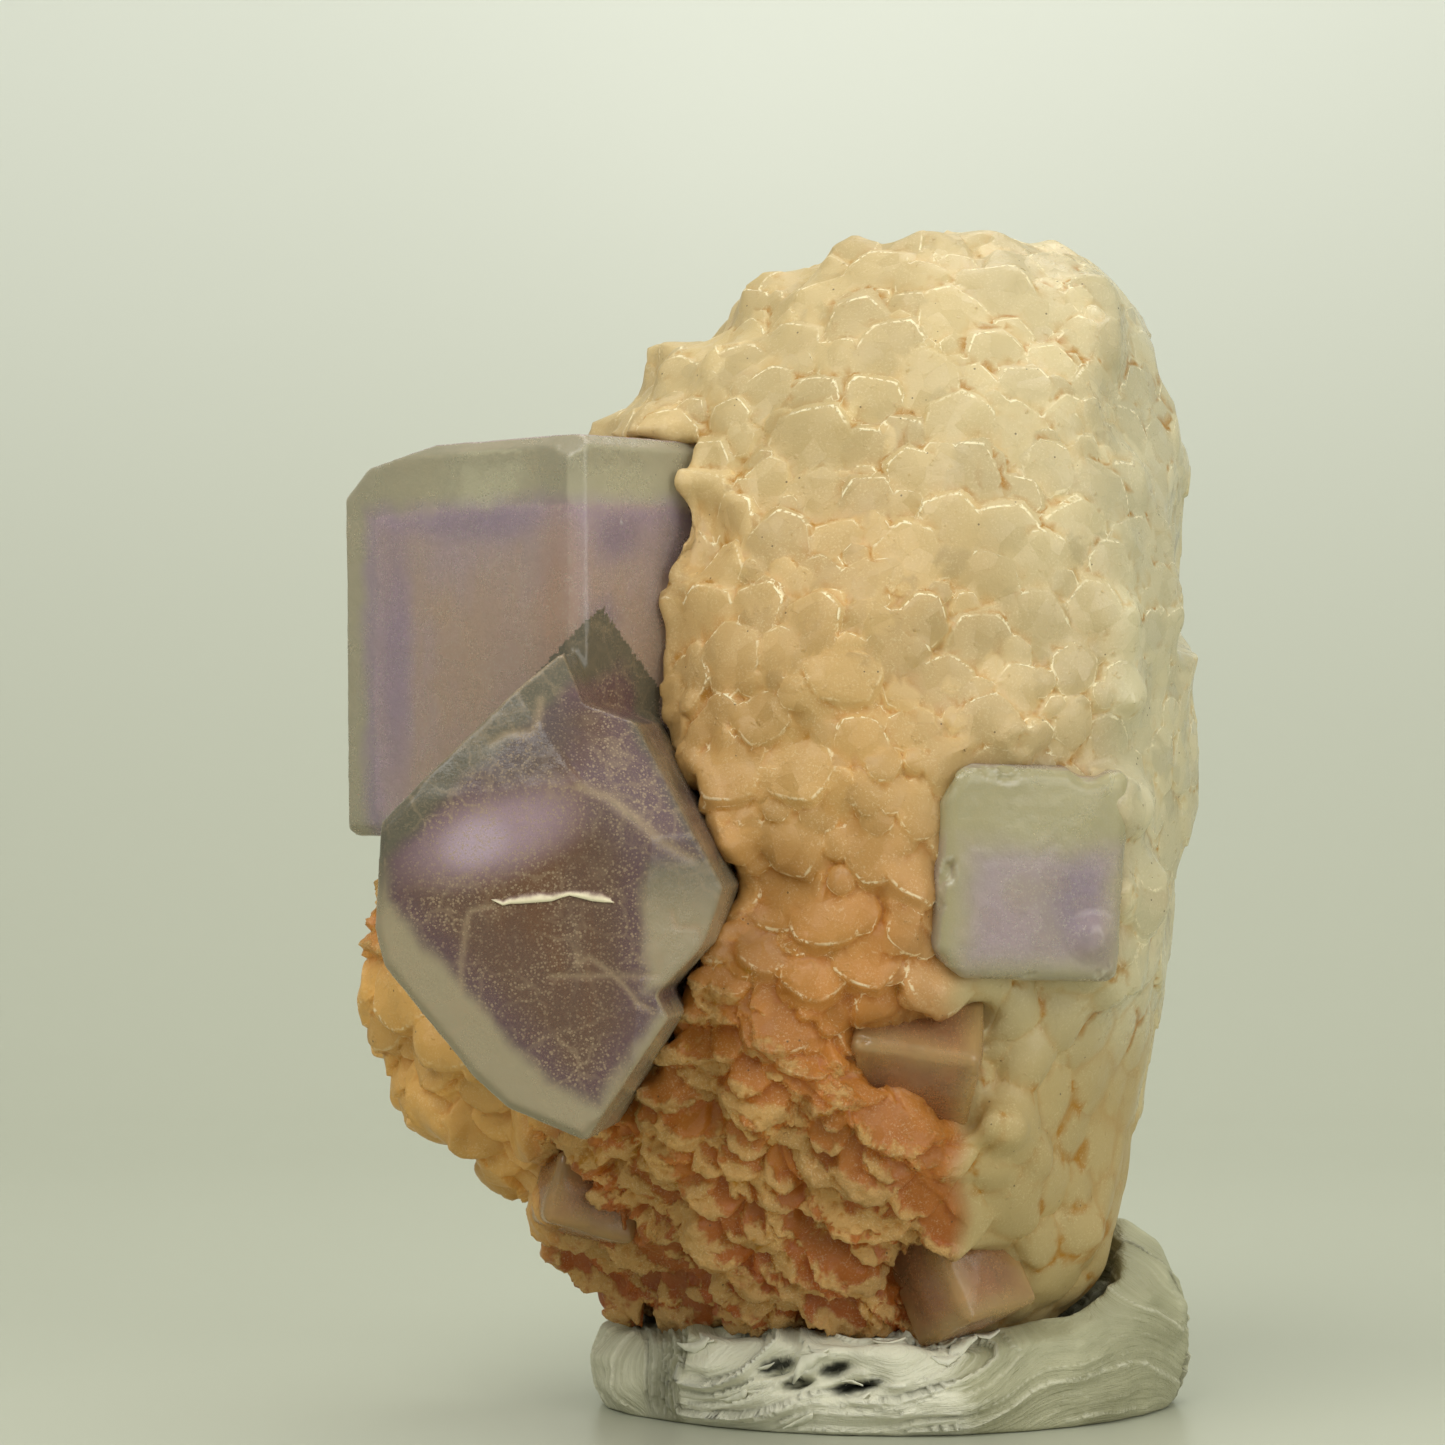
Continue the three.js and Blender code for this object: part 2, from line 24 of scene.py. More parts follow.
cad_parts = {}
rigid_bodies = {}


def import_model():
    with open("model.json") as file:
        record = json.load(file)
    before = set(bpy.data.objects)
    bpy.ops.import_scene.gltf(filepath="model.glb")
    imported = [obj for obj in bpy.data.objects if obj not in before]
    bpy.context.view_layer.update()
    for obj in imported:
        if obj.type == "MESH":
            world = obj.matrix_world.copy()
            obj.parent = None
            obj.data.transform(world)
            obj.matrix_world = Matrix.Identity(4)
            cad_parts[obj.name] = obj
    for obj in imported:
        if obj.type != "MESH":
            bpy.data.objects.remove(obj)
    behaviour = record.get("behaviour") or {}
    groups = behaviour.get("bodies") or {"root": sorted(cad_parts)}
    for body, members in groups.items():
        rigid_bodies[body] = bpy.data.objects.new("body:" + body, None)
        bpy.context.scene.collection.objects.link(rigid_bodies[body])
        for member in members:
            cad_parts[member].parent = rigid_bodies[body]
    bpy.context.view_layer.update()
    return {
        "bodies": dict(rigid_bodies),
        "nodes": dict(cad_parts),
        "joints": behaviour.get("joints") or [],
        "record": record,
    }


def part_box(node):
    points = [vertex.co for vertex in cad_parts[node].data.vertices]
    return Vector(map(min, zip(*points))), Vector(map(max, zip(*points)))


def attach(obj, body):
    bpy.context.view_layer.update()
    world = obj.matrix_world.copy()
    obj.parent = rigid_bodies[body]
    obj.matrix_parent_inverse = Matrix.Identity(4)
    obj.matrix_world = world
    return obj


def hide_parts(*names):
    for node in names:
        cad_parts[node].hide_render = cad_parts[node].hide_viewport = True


MM = 0.001
BODY = "root"
Colour = tuple[float, float, float, float]
Triple = tuple[float, float, float]
Socket = bpy.types.NodeSocket

log = logging.getLogger("specimen")


def colour(red: int, green: int, blue: int) -> Colour:
    """Turn a screen colour, 0 to 255 a channel, into the linear one that shaders read.

    Args:
        red: Red channel.
        green: Green channel.
        blue: Blue channel.

    Returns:
        The linear colour with full alpha.
    """

    def linear(channel: int) -> float:
        """Return one channel without the screen's curve."""
        share = channel / 255
        return share / 12.92 if share <= 0.04045 else ((share + 0.055) / 1.055) ** 2.4

    return (linear(red), linear(green), linear(blue), 1.0)


def ease(values: np.ndarray, low: float, high: float) -> np.ndarray:
    """Rise smoothly from 0 at low to 1 at high.

    Args:
        values: Numbers to map.
        low: Where the rise starts. It may be above high, and the result then falls.
        high: Where the rise ends.

    Returns:
        Shares from 0 to 1.
    """
    share = np.clip((values - low) / (high - low), 0.0, 1.0)
    return share * share * (3.0 - 2.0 * share)


class Slot(Enum):
    """Material slots of the record."""

    QUARTZ = "drusy_quartz"
    FLUORITE = "zoned_fluorite"
    PUTTY = "mounting_putty"


class Grain:
    """Repeatable noise over points in space, worked out for whole arrays at once."""

    CORNERS = np.array([(i, j, k) for i in (0, 1) for j in (0, 1) for k in (0, 1)])
    AROUND = np.array([(i, j, k) for i in (-1, 0, 1) for j in (-1, 0, 1) for k in (-1, 0, 1)])
    GAIN = 1.7
    SHIFT = 17.3

    def __init__(self, seed: int) -> None:
        """Fill the tables of the noise.

        Args:
            seed: Number that picks the pattern.
        """
        draw = np.random.default_rng(seed)
        self.table = draw.permutation(256)
        self.spots = draw.random((256, 3))
        slopes = draw.normal(size=(256, 3))
        self.slopes = slopes / np.linalg.norm(slopes, axis=1, keepdims=True)

    def _entry(self, cells: np.ndarray) -> np.ndarray:
        """Return the table entry of each whole-number cell."""
        x, y, z = (cells & 255).T
        return self.table[(self.table[(self.table[x] + y) & 255] + z) & 255]

    def smooth(self, points: np.ndarray, size: float) -> np.ndarray:
        """Give smooth noise.

        Args:
            points: Places, one a row.
            size: Width of a swell of the noise.

        Returns:
            Values from about -1 to 1.
        """
        scaled = points / size
        cells = np.floor(scaled).astype(int)
        part = scaled - cells
        eased = part**3 * (part * (part * 6.0 - 15.0) + 10.0)
        total = np.zeros(len(points))
        for corner in self.CORNERS:
            slope = self.slopes[self._entry(cells + corner)]
            weight = np.prod(np.where(corner == 1, eased, 1.0 - eased), axis=1)
            total += weight * ((part - corner) * slope).sum(axis=1)
        return total * self.GAIN

    def layered(self, points: np.ndarray, size: float, layers: int = 4) -> np.ndarray:
        """Add layers of noise, each half as wide and half as strong as the last.

        Args:
            points: Places, one a row.
            size: Width of a swell of the first layer.
            layers: Number of layers.

        Returns:
            Values from about -1 to 1.
        """
        total = np.zeros(len(points))
        for layer in range(layers):
            total += self.smooth(points + self.SHIFT * layer, size / 2**layer) / 2**layer
        return total / (2.0 - 0.5 ** (layers - 1))

    def cells(self, points: np.ndarray, size: float) -> tuple[np.ndarray, np.ndarray, np.ndarray]:
        """Split space into irregular cells.

        Args:
            points: Places, one a row.
            size: Width of a cell.

        Returns:
            The gap between the two nearest cell centres, which is 0 on a border, the offset from the
            nearest centre, both in the points' own unit, and the table entry of the cell.
        """
        scaled = points / size
        home = np.floor(scaled).astype(int)
        first = np.full(len(points), 9.0)
        second = np.full(len(points), 9.0)
        offset = np.zeros_like(points)
        entry = np.zeros(len(points), dtype=int)
        for step in self.AROUND:
            entries = self._entry(home + step)
            delta = scaled - (home + step + self.spots[entries])
            gap = np.linalg.norm(delta, axis=1)
            closer = gap < first
            second = np.where(closer, first, np.minimum(second, gap))
            first = np.where(closer, gap, first)
            offset[closer] = delta[closer]
            entry[closer] = entries[closer]
        return (second - first) * size, offset * size, entry


class Shell:
    """The vertices of a mesh as arrays, in millimetres, with what shaping them needs."""

    def __init__(self, piece: bpy.types.Object) -> None:
        """Read a piece.

        Args:
            piece: Mesh object to shape.
        """
        self.piece = piece
        mesh = piece.data
        count = len(mesh.vertices)
        flat = np.empty(count * 3)
        mesh.vertices.foreach_get("co", flat)
        self.points = flat.reshape(-1, 3) / MM
        pairs = np.empty(len(mesh.edges) * 2, dtype=np.int32)
        mesh.edges.foreach_get("vertices", pairs)
        self.starts, self.ends = pairs.reshape(-1, 2).T
        self.links = np.bincount(pairs, minlength=count).clip(1)
        self.normals = self._normals()

    def _normals(self) -> np.ndarray:
        """Return the outward direction at each vertex."""
        flat = np.empty(len(self.piece.data.vertices) * 3)
        self.piece.data.vertex_normals.foreach_get("vector", flat)
        return flat.reshape(-1, 3)

    def blurred(self, values: np.ndarray, rounds: int) -> np.ndarray:
        """Average values over neighbouring vertices.

        Args:
            values: One value, or one row, for each vertex.
            rounds: How often each vertex takes the mean of itself and its neighbours.

        Returns:
            The averaged values.
        """
        rows = values.reshape(len(values), -1)
        for _ in range(rounds):
            mean = np.empty_like(rows)
            for column in range(rows.shape[1]):
                line = rows[:, column]
                gathered = np.bincount(self.starts, line[self.ends], len(line))
                gathered += np.bincount(self.ends, line[self.starts], len(line))
                mean[:, column] = gathered / self.links
            rows = 0.5 * (rows + mean)
        return rows.reshape(values.shape)

    def relief(self, rounds: int) -> np.ndarray:
        """Measure how far each vertex stands out of the smoothed surface, in millimetres."""
        gap = self.points - self.blurred(self.points, rounds)
        return (gap * self.normals).sum(axis=1)

    def push(self, distances: np.ndarray) -> None:
        """Move each vertex outwards by its distance, or inwards where that is negative."""
        self.points = self.points + self.normals * distances[:, None]
        self.write()

    def soften(self, rounds: int) -> None:
        """Smooth the surface."""
        self.points = self.blurred(self.points, rounds)
        self.write()

    def write(self) -> None:
        """Store the moved vertices in the mesh and renew the normals."""
        self.piece.data.vertices.foreach_set("co", (self.points * MM).ravel())
        self.piece.data.update()
        self.normals = self._normals()

    def mark(self, name: str, values: np.ndarray) -> None:
        """Store a value for each vertex as an attribute that trees and materials read."""
        mesh = self.piece.data
        layer = mesh.attributes.get(name) or mesh.attributes.new(name, "FLOAT", "POINT")
        layer.data.foreach_set("value", values.astype(np.float32))


def new_piece(name: str, mesh: bpy.types.Mesh) -> bpy.types.Object:
    """Link a mesh to the scene as a named object and return the object."""
    piece = bpy.data.objects.new(name, mesh)
    bpy.context.scene.collection.objects.link(piece)
    return piece


def merged_copy(node: bpy.types.Object, name: str) -> bpy.types.Object:
    """Return a named copy of a solid of the frame, with its shared corners merged."""
    form = bmesh.new()
    form.from_mesh(node.data)
    bmesh.ops.remove_doubles(form, verts=form.verts, dist=0.002 * MM)
    bmesh.ops.recalc_face_normals(form, faces=form.faces)
    mesh = bpy.data.meshes.new(name)
    form.to_mesh(mesh)
    form.free()
    return new_piece(name, mesh)


def settle(piece: bpy.types.Object) -> None:
    """Turn what a piece's modifiers make of it into its own plain mesh."""
    graph = bpy.context.evaluated_depsgraph_get()
    mesh = bpy.data.meshes.new_from_object(piece.evaluated_get(graph), depsgraph=graph)
    old = piece.data
    piece.modifiers.clear()
    piece.data = mesh
    mesh.name = piece.name
    bpy.data.meshes.remove(old)


def reskin(piece: bpy.types.Object, cell: float) -> None:
    """Join all that a piece holds in one closed skin of squares, cell millimetres wide."""
    remesh = piece.modifiers.new("skin", "REMESH")
    remesh.mode = "VOXEL"
    remesh.voxel_size = cell * MM
    settle(piece)


def drop_crumbs(piece: bpy.types.Object) -> None:
    """Keep only the largest connected part of a piece's mesh."""
    form = bmesh.new()
    form.from_mesh(piece.data)
    form.verts.ensure_lookup_table()
    label = [-1] * len(form.verts)
    parts: list[list[int]] = []
    for start in range(len(label)):
        if label[start] >= 0:
            continue
        label[start] = len(parts)
        part = [start]
        for index in part:
            for edge in form.verts[index].link_edges:
                other = edge.other_vert(form.verts[index]).index
                if label[other] < 0:
                    label[other] = len(parts)
                    part.append(other)
        parts.append(part)
    largest = max(parts, key=len)
    loose = [form.verts[index] for part in parts if part is not largest for index in part]
    bmesh.ops.delete(form, geom=loose, context="VERTS")
    form.to_mesh(piece.data)
    form.free()


def thin_out(piece: bpy.types.Object, triangles: int, where: np.ndarray | None = None) -> None:
    """Thin a skin where it is flat, down to a number of triangles.

    Args:
        piece: Mesh object.
        triangles: Most triangles that it may keep.
        where: Which vertices may go, or None for all.
    """
    now = faces_of(piece.data)
    if now <= triangles:
        return
    decimate = piece.modifiers.new("thin", "DECIMATE")
    decimate.ratio = triangles / now
    if where is not None:
        group = piece.vertex_groups.new(name="thin")
        group.add(np.flatnonzero(where).tolist(), 1.0, "REPLACE")
        decimate.vertex_group = group.name
    settle(piece)
    piece.vertex_groups.clear()


def dress(piece: bpy.types.Object, finish: bpy.types.Material, slot: Slot) -> None:
    """Give a finished piece its material and its body.

    Args:
        piece: Mesh object.
        finish: Its material.
        slot: Not used.
    """
    piece.data.materials.clear()
    piece.data.materials.append(finish)
    piece.data.shade_smooth()
    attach(piece, BODY)
    log.info("%s: %d triangles", piece.name, faces_of(piece.data))


def box_of(node: str) -> tuple[np.ndarray, np.ndarray]:
    """Return the lowest and the highest corner of a solid of the frame, in millimetres."""
    low, high = (np.array(corner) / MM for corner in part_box(node))
    return low, high


def faces_of(mesh: bpy.types.Mesh) -> int:
    """Return how many triangles a mesh holds."""
    return sum(len(face.vertices) - 2 for face in mesh.polygons)


def join_rows(form: bmesh.types.BMesh, rows: list[list[bmesh.types.BMVert]], closed: bool) -> None:
    """Span quads between rows of vertices.

    Args:
        form: Mesh under construction.
        rows: Rows of the same length.
        closed: Whether each row is a ring. The first and the last ring are then filled.
    """
    length = len(rows[0])
    for before, after in zip(rows, rows[1:]):
        for index in range(length if closed else length - 1):
            following = (index + 1) % length
            form.faces.new((before[index], before[following], after[following], after[index]))
    if closed:
        form.faces.new(rows[0])
        form.faces.new(list(reversed(rows[-1])))


class Wiring:
    """A node tree while it is wired up."""

    def __init__(self, tree: bpy.types.NodeTree) -> None:
        """Start on a shader or geometry tree."""
        self.tree = tree

    def add(self, kind: str, inputs: dict[Any, Any] | None = None, **settings: Any) -> bpy.types.Node:
        """Add a node.

        Args:
            kind: Type name of the node.
            inputs: Values or sockets for its inputs, by name or by place.
            settings: Properties of the node.

        Returns:
            The node.
        """
        node = self.tree.nodes.new(kind)
        node.location = (220 * (len(self.tree.nodes) % 12), -260 * (len(self.tree.nodes) // 12))
        for name, value in settings.items():
            setattr(node, name, value)
        self.feed(node, inputs or {})
        return node

    def feed(self, node: bpy.types.Node, inputs: dict[Any, Any]) -> None:
        """Link sockets to the inputs of a node, and set the inputs that get plain values.

        Args:
            node: Node of the tree.
            inputs: Values or sockets, by the name or the place of the input.
        """
        for name, value in inputs.items():
            if isinstance(value, bpy.types.NodeSocket):
                self.tree.links.new(value, node.inputs[name])
            else:
                node.inputs[name].default_value = value

    def math(self, operation: str, first: Any, second: Any = 0.0, clamp: bool = False) -> Socket:
        """Add a sum on numbers and return its result."""
        node = self.add("ShaderNodeMath", {0: first, 1: second}, operation=operation, use_clamp=clamp)
        return node.outputs[0]

    def times(self, first: Any, second: Any) -> Socket:
        """Multiply two numbers."""
        return self.math("MULTIPLY", first, second)

    def plus(self, first: Any, second: Any) -> Socket:
        """Add two numbers."""
        return self.math("ADD", first, second)

    def minus(self, first: Any, second: Any) -> Socket:
        """Take the second number from the first."""
        return self.math("SUBTRACT", first, second)

    def swing(self, value: Any, width: Any) -> Socket:
        """Turn a value from 0 to 1 into one that swings evenly about 0 over a width."""
        return self.times(self.minus(value, 0.5), width)

    def vector(self, operation: str, first: Any, second: Any = (0.0, 0.0, 0.0)) -> Socket:
        """Add a sum on vectors and return its result."""
        inputs = {0: first, "Scale" if operation == "SCALE" else 1: second}
        return self.add("ShaderNodeVectorMath", inputs, operation=operation).outputs[0]

    def dot(self, first: Any, second: Any) -> Socket:
        """Add the dot product of two vectors and return it."""
        node = self.add("ShaderNodeVectorMath", {0: first, 1: second}, operation="DOT_PRODUCT")
        return node.outputs["Value"]

    def span(self, value: Socket, low: float, high: float, start: float = 0.0, end: float = 1.0) -> Socket:
        """Map a range smoothly onto another and return the result."""
        node = self.add(
            "ShaderNodeMapRange",
            {"Value": value, "From Min": low, "From Max": high, "To Min": start, "To Max": end},
            interpolation_type="SMOOTHSTEP",
        )
        return node.outputs["Result"]

    def blend(self, share: Any, first: Any, second: Any, mode: str = "MIX") -> Socket:
        """Mix two colours and return the result."""
        node = self.add("ShaderNodeMix", {0: share, 6: first, 7: second}, data_type="RGBA", blend_type=mode)
        return node.outputs[2]

    def attribute(self, name: str) -> Socket:
        """Return a value stored on the mesh, in a material."""
        return self.add("ShaderNodeAttribute", attribute_name=name).outputs["Fac"]

    def stored(self, name: str, kind: str) -> Socket:
        """Return a value stored on the mesh, in a geometry tree."""
        node = self.add("GeometryNodeInputNamedAttribute", {"Name": name}, data_type=kind)
        return node.outputs[0]

    def ramp(self, value: Socket, stops: Sequence[tuple[float, Colour]]) -> Socket:
        """Turn a value into a colour by stops and return the colour."""
        node = self.add("ShaderNodeValToRGB", {"Fac": value})
        elements = node.color_ramp.elements
        while len(elements) < len(stops):
            elements.new(1.0)
        for element, (place, shade) in zip(elements, stops):
            element.position = place
            element.color = shade
        return node.outputs["Color"]

    def noise(self, place: Socket, size: float, detail: float = 3.0, rough: float = 0.55) -> Socket:
        """Return noise from 0 to 1 whose swells are size wide."""
        node = self.add(
            "ShaderNodeTexNoise",
            {"Vector": place, "Scale": 1.0 / size, "Detail": detail, "Roughness": rough},
        )
        return node.outputs[0]


def new_tree(name: str, kind: str, inputs: dict[str, str], outputs: dict[str, str]) -> bpy.types.NodeTree:
    """Make a node tree with named sockets.

    Args:
        name: Name of the tree.
        kind: Geometry or Shader.
        inputs: Kinds of its input sockets, by name.
        outputs: Kinds of its output sockets, by name.

    Returns:
        The tree, which holds no nodes yet.
    """
    tree = bpy.data.node_groups.new(name, kind + "NodeTree")
    for way, sockets in (("INPUT", inputs), ("OUTPUT", outputs)):
        for label, sort in sockets.items():
            tree.interface.new_socket(label, in_out=way, socket_type="NodeSocket" + sort)
    return tree


def run_tree(piece: bpy.types.Object, tree: bpy.types.NodeTree, values: dict[str, Any]) -> None:
    """Turn a piece into what a geometry tree makes of it.

    Args:
        piece: Mesh object.
        tree: Geometry tree.
        values: Values for the tree's inputs, by name.
    """
    names = {item.name: item.identifier for item in tree.interface.items_tree if item.in_out == "INPUT"}
    modifier = piece.modifiers.new(tree.name, "NODES")
    modifier.node_group = tree
    for name, value in values.items():
        modifier[names[name]] = value
    settle(piece)


class Paint(Wiring):
    """A material while it is wired up, with the shader groups that the finishes share."""

    _groups: ClassVar[dict[str, bpy.types.NodeTree]] = {}

    def __init__(self, name: str) -> None:
        """Make a material with a bare Principled shader.

        Args:
            name: Name of the material.
        """
        self.material = bpy.data.materials.new(name)
        self.material.use_nodes = True
        self.material.node_tree.nodes.clear()
        super().__init__(self.material.node_tree)
        self.shader = self.add("ShaderNodeBsdfPrincipled")
        self.output = self.add("ShaderNodeOutputMaterial", {"Surface": self.shader.outputs[0]})
        self.place = self.vector("SCALE", self.add("ShaderNodeTexCoord").outputs["Object"], 1.0 / MM)

    def grain(self, size: float, detail: float = 3.0, rough: float = 0.55) -> Socket:
        """Return noise from 0 to 1 over the object, whose swells are size millimetres wide."""
        return self.noise(self.place, size, detail, rough)

    def finish(self, inputs: dict[str, Any]) -> bpy.types.Material:
        """Feed the shader and return the material."""
        self.feed(self.shader, inputs)
        return self.material

    def _effect(
        self, name: str, output: str, inputs: dict[str, Any], build: Callable[[Wiring, Any], Socket]
    ) -> Socket:
        """Place a shader group, which is built the first time that it is asked for.

        Args:
            name: Name of the group.
            output: Name of its one output.
            inputs: Its numbers, or sockets that give them, by name. It also gets Place, in millimetres.
            build: Function that wires the group from the outputs of its input node.

        Returns:
            The output of the placed group.
        """
        if name not in self._groups:
            sorts = {"Place": "Vector"} | dict.fromkeys(inputs, "Float")
            tree = new_tree(name, "Shader", sorts, {output: "Float"})
            group = Wiring(tree)
            group.add("NodeGroupOutput", {0: build(group, group.add("NodeGroupInput").outputs)})
            self._groups[name] = tree
        placed = self.add("ShaderNodeGroup", {"Place": self.place} | inputs, node_tree=self._groups[name])
        return placed.outputs[0]

    def specks(self, density: float, radius: float, share: float) -> Socket:
        """Scatter small round specks.

        Args:
            density: Possible specks along a millimetre.
            radius: Radius of a speck, as a share of the space that it has.
            share: Share of the possible specks that show.

        Returns:
            A mask, 1 on a speck.
        """

        def build(group: Wiring, given: Any) -> Socket:
            """Wire the group."""
            cells = group.add("ShaderNodeTexVoronoi", {"Vector": given["Place"], "Scale": given["Density"]})
            spot = group.math("LESS_THAN", cells.outputs["Distance"], given["Radius"])
            dice = group.add("ShaderNodeSeparateColor", {0: cells.outputs["Color"]}).outputs[0]
            return group.times(spot, group.math("LESS_THAN", dice, given["Share"]))

        inputs = {"Density": density, "Radius": radius, "Share": share}
        return self._effect("specks", "Mask", inputs, build)

    def cloud(self, size: float, contrast: float) -> Socket:
        """Give the uneven tone of a stone or a paste.

        Args:
            size: Width of the largest patches in millimetres.
            contrast: How hard the patches end.

        Returns:
            A tone from 0 to 1.
        """

        def build(group: Wiring, given: Any) -> Socket:
            """Wire the group."""
            scaled = group.math("DIVIDE", 1.0, given["Size"])
            inputs = {"Vector": given["Place"], "Scale": scaled, "Detail": 3.0}
            broad = group.add("ShaderNodeTexNoise", inputs)
            strong = group.swing(broad.outputs[0], given["Contrast"])
            return group.math("ADD", strong, 0.5, clamp=True)

        return self._effect("cloud", "Tone", {"Size": size, "Contrast": contrast}, build)

    def veins(self, size: float, width: float) -> Socket:
        """Draw a net of crooked veins.

        Args:
            size: Width of a mesh of the net in millimetres.
            width: Width of a vein, as a share of that.

        Returns:
            A mask, 1 on a vein.
        """

        def build(group: Wiring, given: Any) -> Socket:
            """Wire the group."""
            scaled = group.math("DIVIDE", 1.0, given["Size"])
            swirl = group.add(
                "ShaderNodeTexNoise",
                {"Vector": given["Place"], "Scale": scaled, "Detail": 2.0, "Roughness": 0.7},
            )
            bent = group.vector("SCALE", swirl.outputs["Color"], given["Size"])
            moved = group.vector("ADD", given["Place"], bent)
            inputs = {"Vector": moved, "Scale": scaled}
            net = group.add("ShaderNodeTexVoronoi", inputs, feature="DISTANCE_TO_EDGE")
            line = group.math("DIVIDE", net.outputs["Distance"], given["Width"])
            return group.span(line, 1.0, 0.2)

        return self._effect("veins", "Mask", {"Size": size, "Width": width}, build)

    def facets(self, size: float, slope: float) -> Socket:
        """Break a skin up into small flat faces that lean in all directions.

        Args:
            size: Width of a face in millimetres.
            slope: How far the faces lean.

        Returns:
            A height in millimetres.
        """

        def build(group: Wiring, given: Any) -> Socket:
            """Wire the group."""
            scaled = group.math("DIVIDE", 1.0, given["Size"])
            cells = group.add("ShaderNodeTexVoronoi", {"Vector": given["Place"], "Scale": scaled})
            offset = group.vector("SUBTRACT", given["Place"], cells.outputs["Position"])
            lean = group.vector("SUBTRACT", cells.outputs["Color"], (0.5, 0.5, 0.5))
            return group.times(group.dot(offset, lean), given["Slope"])

        return self._effect("facets", "Height", {"Size": size, "Slope": slope}, build)


